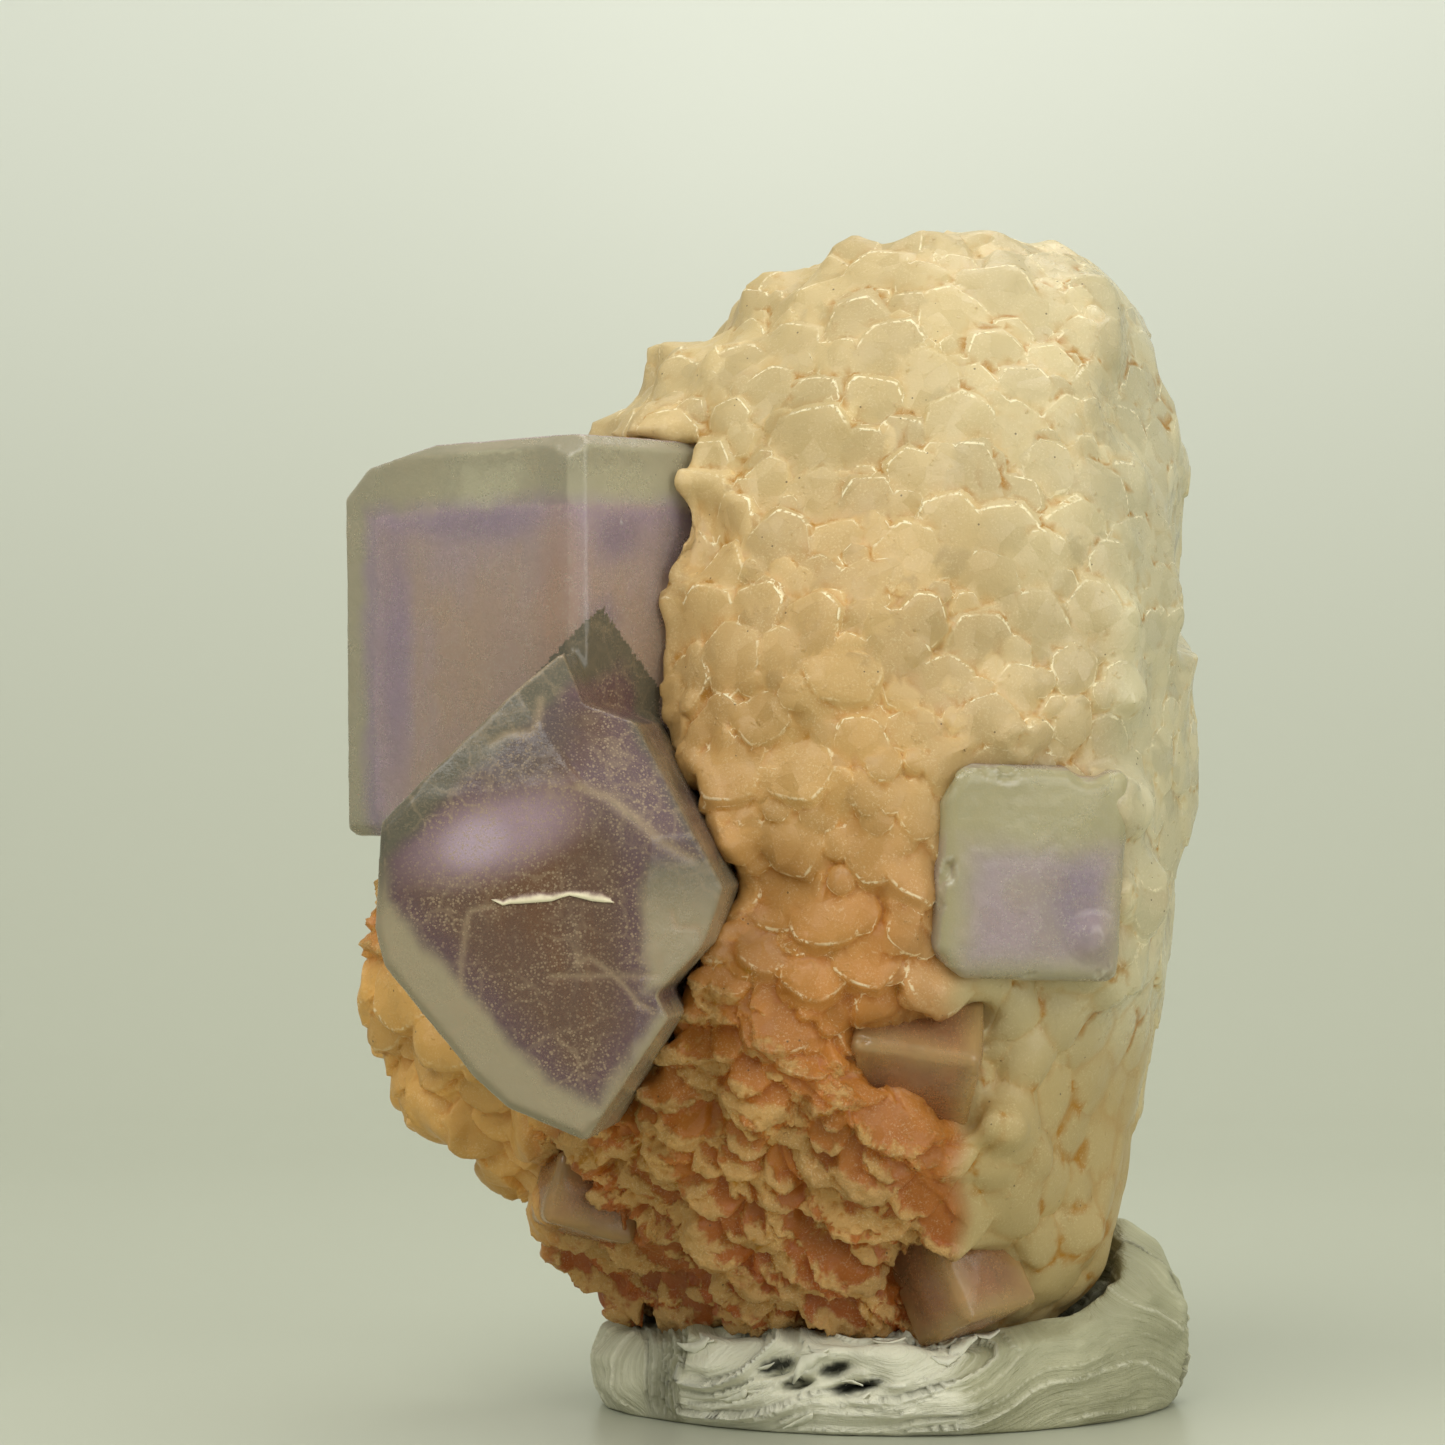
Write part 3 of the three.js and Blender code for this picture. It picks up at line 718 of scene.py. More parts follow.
@dataclass(frozen=True)
class QuartzFinish:
    """Translucent druse that runs from cream at the crown to orange-brown at the foot."""

    crown: Colour = colour(192, 170, 122)
    middle: Colour = colour(186, 148, 90)
    waist: Colour = colour(172, 112, 46)
    foot: Colour = colour(148, 76, 20)
    wax: Colour = colour(180, 158, 108)
    glass: Colour = colour(198, 188, 152)
    # Golden tone of the low left, brightened to carry a painted backlit glow as well.
    gold: Colour = colour(202, 156, 86)
    chalk: Colour = colour(184, 149, 94)
    # Deeper orange laid on the upper parts of the low plates, under the lips above: painted shade.
    deep: Colour = colour(144, 80, 10)
    rust: Colour = colour(160, 112, 28)
    # Colour multiplied into the creases between plates: painted shade, darker and more orange.
    crease_shade: Colour = colour(232, 196, 132)
    # Pale tone of the edge lines, which are painted highlights, and of the frost.
    edge: Colour = colour(240, 228, 190)
    soil: Colour = colour(70, 58, 36)
    height: float = 75.0

    def _body(self, wiring: Paint, powder: Socket) -> Socket:
        """Return the tone of the stone, with painted shade in the low hollows, before its creases and
        edges.
        """
        parts = wiring.add("ShaderNodeSeparateXYZ", {0: wiring.place})
        cloud = wiring.cloud(9.0, 2.2)
        level = wiring.math("DIVIDE", parts.outputs["Z"], self.height)
        level = wiring.plus(level, wiring.swing(cloud, 0.1))
        level = wiring.plus(level, wiring.times(parts.outputs["X"], 0.0015))
        stops = [(0.1, self.foot), (0.33, self.waist), (0.56, self.middle), (0.86, self.crown)]
        body = wiring.ramp(level, stops)
        # The wax, glass and golden zones; the golden one also carries a painted glow.
        for name in ("wax", "glass", "gold"):
            body = wiring.blend(wiring.attribute(name), body, getattr(self, name))
        # Painted shade: the low hollows under the plate lips turn a deeper orange.
        body = wiring.blend(wiring.times(wiring.attribute("deep"), 0.7), body, self.deep)
        body = wiring.blend(wiring.times(powder, 0.85), body, self.chalk)
        each = wiring.span(wiring.attribute("tone"), 0.0, 1.0, 0.9, 1.08)
        return wiring.vector("SCALE", body, each)

    def _edge_highlights(self, wiring: Paint) -> Socket:
        """Return thin, broken lines along the raised plate edges: painted highlights on the upper edges
        near the crown, and pale lips lower down.
        """
        reach = wiring.attribute("reach")
        line = wiring.times(wiring.span(reach, 0.89, 0.93), wiring.span(reach, 0.99, 0.95))
        line = wiring.times(line, wiring.attribute("arc"))
        dashes = wiring.span(wiring.grain(0.3, 2.0), 0.4, 0.54)
        patches = wiring.span(wiring.grain(2.0, 2.0), 0.4, 0.56, 0.1, 1.0)
        return wiring.times(line, wiring.times(dashes, patches))

    def material(self) -> bpy.types.Material:
        """Build the material."""
        wiring = Paint("drusy quartz")
        ragged = wiring.swing(wiring.grain(0.7, 2.0, 0.7), 1.8)
        powder = wiring.span(wiring.plus(wiring.attribute("chalk"), ragged), 0.15, 0.95)
        body = self._body(wiring, powder)
        # Painted shade: the creases between plates are darkened towards orange.
        crease_shade = wiring.attribute("groove")
        shaded_crease_tone = wiring.blend(1.0, body, self.crease_shade, "MULTIPLY")
        body = wiring.blend(wiring.times(crease_shade, 0.65), body, shaded_crease_tone)
        patches = wiring.span(wiring.cloud(3.2, 3.2), 0.6, 0.8)
        body = wiring.blend(wiring.times(wiring.attribute("rusty"), patches), body, self.rust)
        # Painted highlights: thin pale lines along the raised plate edges.
        line = self._edge_highlights(wiring)
        body = wiring.blend(line, body, self.edge)
        frost = wiring.span(wiring.grain(0.15, 2.0, 0.8), 0.52, 0.68)
        where = wiring.span(wiring.grain(1.6, 1.0), 0.38, 0.62, 0.12, 0.5)
        where = wiring.times(where, wiring.span(wiring.attribute("deep"), 0.0, 1.0, 1.0, 0.7))
        body = wiring.blend(wiring.times(frost, where), body, wiring.blend(0.4, body, self.edge))
        dirt = wiring.specks(1.3, 0.09, 0.2)
        body = wiring.blend(wiring.times(dirt, 0.7), body, self.soil)
        rough = wiring.plus(wiring.span(powder, 0.0, 1.0, 0.36, 0.88), wiring.times(where, 0.4))
        clear = wiring.times(wiring.attribute("glass"), 0.3)
        fine = wiring.times(wiring.grain(0.18, 2.0, 0.7), 0.03)
        crumbs = wiring.times(wiring.grain(0.5, 2.0, 0.75), wiring.times(powder, 0.3))
        planes = wiring.facets(1.4, 0.34)
        bare = wiring.span(wiring.math("MAXIMUM", powder, wiring.attribute("wax")), 1.0, 0.0, 0.25, 1.0)
        relief = wiring.plus(wiring.times(planes, bare), wiring.times(line, 0.05))
        relief = wiring.plus(relief, wiring.plus(fine, crumbs))
        bump = wiring.add("ShaderNodeBump", {"Height": relief, "Strength": 1.0, "Distance": MM})
        wiring.shader.subsurface_method = "BURLEY"
        return wiring.finish(
            {
                "Base Color": body,
                "Roughness": wiring.minus(rough, clear),
                "Normal": bump.outputs[0],
                "Subsurface Weight": 0.7,
                "Subsurface Radius": (1.0, 0.88, 0.66),
                "Subsurface Scale": 1.8 * MM,
                "Specular IOR Level": 0.34,
                "IOR": 1.54,
            }
        )


@dataclass(frozen=True)
class Side:
    """One side of a crystal and the width of the clear rim that lies inside it."""

    point: Vector
    out: Vector
    rim: float
    beside: tuple["Side", ...] = ()
    window: bool = True


@dataclass(frozen=True)
class Cube:
    """A cube of fluorite: its place, its turn, its lengths, and the rims inside its six sides."""

    middle: Triple
    angles: Triple
    size: Triple
    rims: tuple[tuple[float, float], tuple[float, float], tuple[float, float]]

    def sides(self) -> list[Side]:
        """Return the six sides."""
        turn = Euler([math.radians(angle) for angle in self.angles], "ZYX").to_matrix()
        found = []
        for axis in range(3):
            for sign, rim in zip((-1.0, 1.0), self.rims[axis]):
                out = turn @ Vector([sign * (axis == other) for other in range(3)])
                found.append(Side(Vector(self.middle) + out * self.size[axis] / 2.0, out, rim))
        return found


@dataclass(frozen=True)
class Slab:
    """A crystal with one broad face. Its edges are given across and up from the middle of the face."""

    middle: Triple
    turn: float
    depth: float
    edges: tuple[tuple[float, float, float, float], ...]
    corner: tuple[tuple[float, float, float], ...] = ()

    def frame(self) -> Matrix:
        """Return the frame of the face: X across, Y into the crystal and Z up."""
        return Matrix.Translation(Vector(self.middle)) @ Matrix.Rotation(math.radians(self.turn), 4, "Z")

    def _side(self, across: float, up: float, angle: float, rim: float) -> Side:
        """Return a side that stands upright on the face, at an angle from straight across."""
        frame = self.frame()
        out = Vector((math.cos(math.radians(angle)), 0.0, math.sin(math.radians(angle))))
        return Side(frame @ Vector((across, 0.0, up)), frame.to_3x3() @ out, rim, window=False)

    def sides(self) -> list[Side]:
        """Return the sides round the face, the face itself and the back."""
        frame = self.frame()
        inward = frame.to_3x3() @ Vector((0.0, 1.0, 0.0))
        found = [self._side(*edge) for edge in self.edges]
        found.append(Side(frame @ Vector(), -inward, 1.0))
        found.append(Side(frame @ Vector((0.0, self.depth, 0.0)), inward, 1.0))
        if self.corner:
            first, *others = [self._side(across, up, angle, 0.0) for across, up, angle in self.corner]
            found.append(Side(first.point, first.out, 0.0, tuple(others), window=False))
        return found


@dataclass(frozen=True)
class Patch:
    """A soft-edged place in a crystal with a colour of its own, drawn out along three axes. Some patches
    are painted highlights.
    """

    middle: Triple
    radii: Triple
    tone: Colour
    share: float
    slant: float = 0.0


@dataclass(frozen=True)
class Zoning:
    """The colours of a crystal, from its rim through the purple zone to its heart."""

    rim: Colour = colour(228, 224, 196)
    border: Colour = colour(188, 166, 182)
    zone: Colour = colour(198, 176, 178)
    heart: Colour = colour(206, 182, 158)
    clear: Colour = colour(248, 246, 236)
    frost: Colour = colour(232, 226, 206)
    core: Colour = colour(206, 184, 188)
    core_heart: Colour = colour(208, 186, 166)
    core_veil: Colour = colour(196, 172, 200)
    shade: Colour = colour(132, 128, 106)
    dusk: tuple[float, float] = (90.0, 91.0)
    soft: float = 0.3
    clarity: float = 0.85
    tint: float = 0.4
    speckle: float = 0.35
    veins: float = 0.0
    patches: tuple[Patch, ...] = ()

    def patched(self, wiring: Paint, body: Socket) -> Socket:
        """Lay the crystal's patches, of colour and of painted highlight, over a colour and return it."""
        for patch in self.patches:
            home = wiring.add(
                "ShaderNodeMapping",
                {
                    "Vector": wiring.place,
                    "Location": patch.middle,
                    "Rotation": (0.0, math.radians(-patch.slant), 0.0),
                    "Scale": patch.radii,
                },
                vector_type="TEXTURE",
            ).outputs[0]
            reach = wiring.add("ShaderNodeVectorMath", {0: home}, operation="LENGTH").outputs["Value"]
            body = wiring.blend(wiring.span(reach, 1.3, 0.3, 0.0, patch.share), body, patch.tone)
        return body


@dataclass(frozen=True)
class FluoriteFinish:
    """Clear fluorite with a frosted skin, a pale rim and a purple zone, in a crystal's own axes."""

    name: str
    habit: Cube | Slab
    zoning: Zoning
    density: float = 18.0
    absorbed: Colour = colour(206, 190, 196)

    def _depth(self, wiring: Paint) -> Socket:
        """Return how deep a place lies in the purple zone, measured along the face that it is on."""
        normal = wiring.add("ShaderNodeNewGeometry").outputs["Normal"]

        def within(side: Side) -> Socket:
            """Return how far a place is inside a side's rim."""
            level = side.point.dot(side.out) - side.rim
            near = wiring.minus(level, wiring.dot(wiring.place, side.out))
            if not side.window:
                return near
            facing = wiring.math("MAXIMUM", wiring.dot(normal, side.out), 0.0)
            return wiring.plus(near, wiring.times(wiring.math("POWER", facing, 14.0), 50.0))

        depth = None
        for side in self.habit.sides():
            near = within(side)
            for other in side.beside:
                near = wiring.math("MAXIMUM", near, within(other))
            depth = near if depth is None else wiring.math("MINIMUM", depth, near)
        wobble = wiring.swing(wiring.grain(2.2, 1.0), 1.2)
        return wiring.plus(depth, wobble)

    def material(self) -> bpy.types.Material:
        """Build the material."""
        wiring = Paint(self.name)
        zoning = self.zoning
        depth = self._depth(wiring)
        streak = wiring.noise(wiring.vector("MULTIPLY", wiring.place, (1.0, 1.0, 0.25)), 1.6, 2.0)
        body = wiring.blend(wiring.span(depth, 0.3, 2.4), zoning.border, zoning.zone)
        deep = wiring.plus(depth, wiring.swing(streak, 8.0))
        body = wiring.blend(wiring.span(deep, 2.0, 8.0), body, zoning.heart)
        # The patches go over the zone colours, painted highlights among them.
        body = zoning.patched(wiring, body)
        inside = wiring.span(depth, -zoning.soft, zoning.soft)
        body = wiring.blend(zoning.tint, body, zoning.clear)
        height = wiring.add("ShaderNodeSeparateXYZ", {0: wiring.place}).outputs["Z"]
        rim = wiring.blend(wiring.span(height, *zoning.dusk), zoning.rim, zoning.shade)
        body = wiring.blend(inside, rim, body)
        tone = wiring.cloud(3.5, 2.5)
        if zoning.veins:
            net = wiring.times(wiring.veins(2.4, 0.07), tone)
            body = wiring.blend(wiring.times(net, zoning.veins), body, zoning.frost)
        fine = wiring.specks(5.2, 0.3, 0.7)
        coarse = wiring.specks(3.2, 0.26, 0.85)
        etched = wiring.math("MAXIMUM", fine, coarse)
        etched = wiring.times(etched, wiring.span(inside, 0.0, 1.0, 0.3, 1.0))
        share = wiring.span(tone, 0.1, 0.8, 0.4 * zoning.speckle, zoning.speckle)
        share = wiring.times(etched, share)
        mist = wiring.span(wiring.grain(0.11, 2.0, 0.8), 0.5, 0.66)
        mist = wiring.times(mist, wiring.span(tone, 0.2, 0.8, 0.1, 0.6 * zoning.speckle))
        body = wiring.blend(wiring.math("MAXIMUM", share, mist), body, zoning.frost)
        body = wiring.blend(wiring.times(wiring.attribute("edge"), 0.7), body, zoning.frost)
        body = wiring.blend(wiring.attribute("scar"), body, zoning.frost)
        rough = wiring.plus(wiring.span(tone, 0.0, 1.0, 0.16, 0.3), wiring.times(share, 0.4))
        relief = wiring.grain(0.2, 2.0, 0.7)
        bump = wiring.add("ShaderNodeBump", {"Height": relief, "Strength": 0.3, "Distance": 0.05 * MM})
        inner = wiring.add("ShaderNodeVolumeAbsorption", {"Color": self.absorbed, "Density": self.density})
        wiring.feed(wiring.output, {"Volume": inner.outputs[0]})
        return wiring.finish(
            {
                "Base Color": body,
                "Roughness": rough,
                "Normal": bump.outputs[0],
                "Transmission Weight": zoning.clarity,
                "IOR": 1.434,
            }
        )


@dataclass(frozen=True)
class PhantomFinish:
    """The milky purple of a crystal that the clear rim grew over."""

    zoning: Zoning

    def material(self) -> bpy.types.Material:
        """Build the material."""
        wiring = Paint("purple zone")
        tone = wiring.cloud(5.0, 2.4)
        body = wiring.blend(tone, self.zoning.core, self.zoning.core_heart)
        body = wiring.blend(wiring.span(wiring.grain(4.0), 0.4, 0.75), body, self.zoning.core_veil)
        # The patches, painted highlights among them, are laid on the inner zone as well.
        body = self.zoning.patched(wiring, body)
        return wiring.finish({"Base Color": body, "Roughness": wiring.span(tone, 0.0, 1.0, 0.5, 0.7)})


@dataclass(frozen=True)
class PuttyFinish:
    """Grey-green mounting putty with fine strands, white where it was torn."""

    body: Colour = colour(186, 184, 152)
    shade: Colour = colour(156, 154, 122)
    # Dark colour of the grooves: painted shade.
    fold_shade: Colour = colour(92, 90, 62)
    fresh: Colour = colour(226, 224, 202)
    # Near-black of the holes: painted shadow.
    hole_shadow_colour: Colour = colour(34, 36, 24)

    def material(self) -> bpy.types.Material:
        """Build the material."""
        wiring = Paint("mounting putty")
        tone = wiring.cloud(4.0, 2.6)
        course = wiring.times(wiring.attribute("course"), 0.08)
        strand = wiring.attribute("strand")
        drawn = wiring.add("ShaderNodeCombineXYZ", {"X": course, "Y": strand}).outputs[0]
        thread = wiring.noise(drawn, 0.3, 4.0, 0.7)
        body = wiring.blend(tone, self.shade, self.body)
        # Painted light: the wrapped left end is lightened against the shade that the specimen casts on it.
        body = wiring.blend(wiring.times(wiring.attribute("wound"), 0.5), body, self.fresh)
        body = wiring.blend(wiring.span(thread, 0.62, 0.36, 0.0, 0.5), body, self.shade)
        torn = wiring.plus(wiring.attribute("torn"), wiring.minus(thread, 0.5))
        body = wiring.blend(wiring.span(torn, 0.45, 0.95, 0.0, 0.85), body, self.fresh)
        body = wiring.blend(wiring.times(wiring.attribute("edge"), 0.5), body, self.fresh)
        # Painted shade darkens the grooves.
        body = wiring.blend(wiring.times(wiring.attribute("groove"), 0.75), body, self.fold_shade)
        # Painted shadow fills the holes.
        body = wiring.blend(wiring.attribute("hole"), body, self.hole_shadow_colour)
        height = wiring.plus(thread, wiring.times(wiring.grain(0.3, 2.0, 0.7), 0.25))
        bump = wiring.add("ShaderNodeBump", {"Height": height, "Strength": 0.8, "Distance": 0.3 * MM})
        return wiring.finish(
            {
                "Base Color": body,
                "Roughness": wiring.span(tone, 0.0, 1.0, 0.42, 0.62),
                "Normal": bump.outputs[0],
                "Subsurface Weight": 0.2,
                "Subsurface Radius": (1.0, 0.95, 0.8),
                "Subsurface Scale": 0.6 * MM,
            }
        )


@dataclass(frozen=True)
class Scar:
    """A pale line on the broad face of a crystal, across and up from the middle of the face."""

    course: tuple[tuple[float, float], ...]
    width: float = 0.16
    share: float = 0.6
    depth: float = 0.05

    def strength(self, across: np.ndarray, up: np.ndarray) -> np.ndarray:
        """Say how strongly the line shows at each place.

        Args:
            across: Places across the face.
            up: Places up the face.

        Returns:
            Shares from 0 to 1.
        """
        nearest = np.full(len(across), 99.0)
        for (x0, z0), (x1, z1) in zip(self.course, self.course[1:]):
            dx, dz = x1 - x0, z1 - z0
            along = np.clip(((across - x0) * dx + (up - z0) * dz) / (dx * dx + dz * dz), 0.0, 1.0)
            nearest = np.minimum(nearest, np.hypot(across - x0 - along * dx, up - z0 - along * dz))
        return np.exp(-((nearest / self.width) ** 2))


@dataclass
class Fluorite:
    """One fluorite node: a crystal, or two that grew through each other."""

    node: str
    habits: list[Cube | Slab]
    zonings: list[Zoning]
    cell: float
    seed: int
    cover: float = 0.9
    rounds: int = 1
    wear: float = 0.3
    scars: tuple[Scar, ...] = ()
    bites: tuple[tuple[float, float, float, float], ...] = ()
    triangles: int = 190000

    def carve(self, frame: dict[str, Any]) -> bpy.types.Object:
        """Make the crystal's skin from its solid, with worn edges and an uneven surface.

        Args:
            frame: The loaded frame.

        Returns:
            The finished mesh object.
        """
        piece = merged_copy(frame["nodes"][self.node], self.node + "_crystal")
        reskin(piece, self.cell)
        shell = Shell(piece)
        grain = Grain(self.seed)
        shell.soften(self.rounds)
        sharp = ease(shell.relief(4 * self.rounds), 0.3 * self.cell, 0.7 * self.cell)
        chips = ease(grain.layered(shell.points, 2.6), 0.15, 0.6)
        swell = 0.05 * grain.layered(shell.points, 4.0) + 0.02 * grain.smooth(shell.points, 0.7)
        for x, z, width, depth in self.bites:
            gap = np.hypot(shell.points[:, 0] - x, shell.points[:, 2] - z)
            swell -= depth * ease(gap, width, 0.2 * width)
        shell.push(swell - self.wear * chips * sharp - self._scarred(shell.points)[1])
        thin_out(piece, self.triangles)
        shell = Shell(piece)
        shell.mark("edge", ease(shell.relief(2) / self.cell, 0.05, 0.16))
        shell.mark("scar", self._scarred(shell.points)[0])
        return piece

    def _scarred(self, points: np.ndarray) -> tuple[np.ndarray, np.ndarray]:
        """Return the strength and the depth of the scars at each place."""
        strength = np.zeros(len(points))
        depth = np.zeros(len(points))
        if self.scars:
            home = np.array(self.habits[-1].frame().inverted())
            across, inward, up = (points @ home[:3, :3].T + home[:3, 3]).T
            near = ease(inward, 3.5, 2.5)
            for scar in self.scars:
                shown = near * scar.strength(across, up)
                strength = np.maximum(strength, scar.share * shown)
                depth = np.maximum(depth, scar.depth * shown)
        return strength, depth

    def phantom(self, index: int, frame: dict[str, Any]) -> bpy.types.Object:
        """Make the inner zone of a crystal, cut out of the node's solid well under its skin.

        Args:
            index: Which of the node's crystals.
            frame: The loaded frame.

        Returns:
            The mesh object.
        """
        core = merged_copy(frame["nodes"][self.node], f"{self.node}_phantom_{index + 1}")
        reskin(core, 0.5)
        shell = Shell(core)
        shell.soften(2)
        shell.push(np.full(len(shell.points), -self.cover))
        form = bmesh.new()
        form.from_mesh(core.data)
        for side in self.habits[index].sides():
            if side.beside:
                continue
            cut = bmesh.ops.bisect_plane(
                form,
                geom=form.verts[:] + form.edges[:] + form.faces[:],
                plane_co=(side.point - side.out * side.rim) * MM,
                plane_no=side.out,
                clear_outer=True,
            )
            rim = [item for item in cut["geom_cut"] if isinstance(item, bmesh.types.BMEdge)]
            bmesh.ops.holes_fill(form, edges=rim, sides=0)
        bmesh.ops.triangulate(form, faces=form.faces)
        bmesh.ops.recalc_face_normals(form, faces=form.faces)
        form.to_mesh(core.data)
        form.free()
        reskin(core, 0.4)
        shell = Shell(core)
        shell.soften(8)
        shell.push(0.35 * Grain(self.seed + 50).layered(shell.points, 4.0) - 0.15)
        return core

    def build(self, frame: dict[str, Any]) -> None:
        """Make the node's pieces and set them in the frame.

        Args:
            frame: The loaded frame.
        """
        piece = self.carve(frame)
        finishes = []
        for index, (habit, zoning) in enumerate(zip(self.habits, self.zonings)):
            finishes.append(FluoriteFinish(f"{self.node} {index + 1}", habit, zoning).material())
        dress(piece, finishes[0], Slot.FLUORITE)
        if len(finishes) > 1:
            piece.data.materials.append(finishes[1])
            self._paint_second(piece)
        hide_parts(self.node)
        for index in range(len(self.habits)):
            zone = PhantomFinish(self.zonings[index]).material()
            dress(self.phantom(index, frame), zone, Slot.FLUORITE)

    def _paint_second(self, piece: bpy.types.Object) -> None:
        """Give the faces of the second crystal the finish in its own axes.

        Args:
            piece: The node's mesh object.
        """
        sides = [side for side in self.habits[1].sides() if not side.beside]
        for face in piece.data.polygons:
            at = face.center / MM
            face.material_index = int(all((at - side.point).dot(side.out) < 0.9 for side in sides))


@dataclass(frozen=True)
class Flake:
    """A cream sliver that has lifted off the broad face of the front crystal.

    Each station gives its place across the face and its lower and upper edge.
    """

    name: str
    stations: tuple[Triple, ...]
    tone: Colour = colour(232, 222, 190)
    fade: Colour = colour(160, 132, 118)

    def build(self, slab: Slab) -> None:
        """Make the sliver and set it in the frame.

        Args:
            slab: The crystal that it lies on.
        """
        form = bmesh.new()
        fading = form.verts.layers.float.new("fade")
        frame = slab.frame()
        rows = []
        for across, low, high in self.stations:
            row = []
            for share, inward in ((0.0, -0.1), (0.35, -0.07), (1.0, 0.01), (1.0, 0.2), (0.0, 0.2)):
                vert = form.verts.new((frame @ Vector((across, inward, low + share * (high - low)))) * MM)
                vert[fading] = share
                row.append(vert)
            rows.append(row)
        join_rows(form, rows, closed=True)
        bmesh.ops.triangulate(form, faces=form.faces)
        bmesh.ops.recalc_face_normals(form, faces=form.faces)
        mesh = bpy.data.meshes.new(self.name)
        form.to_mesh(mesh)
        form.free()
        piece = new_piece(self.name, mesh)
        wiring = Paint("lifted sliver")
        fading = wiring.attribute("fade")
        grainy = wiring.swing(wiring.grain(0.5), 0.6)
        gone = wiring.plus(fading, grainy)
        body = wiring.blend(wiring.span(gone, 0.15, 0.8), self.tone, self.fade)
        alpha = wiring.span(gone, 0.35, 1.0, 1.0, 0.0)
        finish = wiring.finish({"Base Color": body, "Alpha": alpha, "Roughness": 0.5})
        dress(piece, finish, Slot.FLUORITE)


@dataclass(frozen=True)
class Tier:
    """One sowing of quartz plates over the matrix. Lengths are millimetres."""

    spacing: float
    radius: float
    drop: float
    seed: int


@dataclass
class Plates:
    """Overlapping plates of quartz: where they sit, how they stand and how they are shaped."""

    place: np.ndarray
    out: np.ndarray
    tip: np.ndarray
    side: np.ndarray
    radius: np.ndarray
    drop: np.ndarray
    spin: np.ndarray
    tone: np.ndarray
    skew: np.ndarray
    habit: dict[str, np.ndarray]
    near: int = 12

    def lay(self, points: np.ndarray) -> dict[str, np.ndarray]:
        """Lay the plates over a surface, the highest one on top at each place.

        Args:
            points: Places on the surface, in millimetres.

        Returns:
            By name: height of the top plate, gap down to the next one, reach from its middle, where
            its rim is 1, beyond, which is the next one's reach, along towards its tip, and its tone.
        """
        finder = KDTree(len(self.place))
        for index, spot in enumerate(self.place):
            finder.insert(spot, index)
        finder.balance()
        near = np.array([[found[1] for found in finder.find_n(point, self.near)] for point in points])
        offset = points[:, None, :] - self.place[near]
        radius = self.radius[near]
        along = (offset * self.tip[near]).sum(axis=2) / radius
        across = (offset * self.side[near]).sum(axis=2) / radius
        away = np.abs((offset * self.out[near]).sum(axis=2)) / radius
        disc = np.hypot(along / np.where(along > 0.0, 1.15, 1.0), across / 0.95)
        corner = np.zeros_like(along)
        roof = np.zeros_like(along)
        for step in range(6):
            angle = self.spin[near] + math.tau * step / 6
            toward = along * np.cos(angle) + across * np.sin(angle)
            corner = np.maximum(corner, toward * self.skew[near, step])
            if step % 2:
                roof = np.maximum(roof, toward)
        tilt, step, slope, dome, facet, angular = (
            self.habit[name][near] for name in ("tilt", "step", "slope", "dome", "facet", "angular")
        )
        reach = (1.0 - angular) * disc + 1.1 * angular * corner + 0.3 * away
        level = tilt * along * radius - self.drop[near] - dome * reach**2 - facet * radius * roof
        level -= step * ease(reach, 0.93, 1.05) + slope * np.maximum(reach - 1.0, 0.0) * radius
        order = np.argsort(-level, axis=1)[:, :2]
        rows = np.arange(len(points))
        best, second = order[:, 0], order[:, 1]
        return {
            "height": level[rows, best],
            "gap": level[rows, best] - level[rows, second],
            "reach": reach[rows, best],
            "beyond": reach[rows, second],
            "along": along[rows, best],
            "tone": self.tone[near[rows, best]],
        }


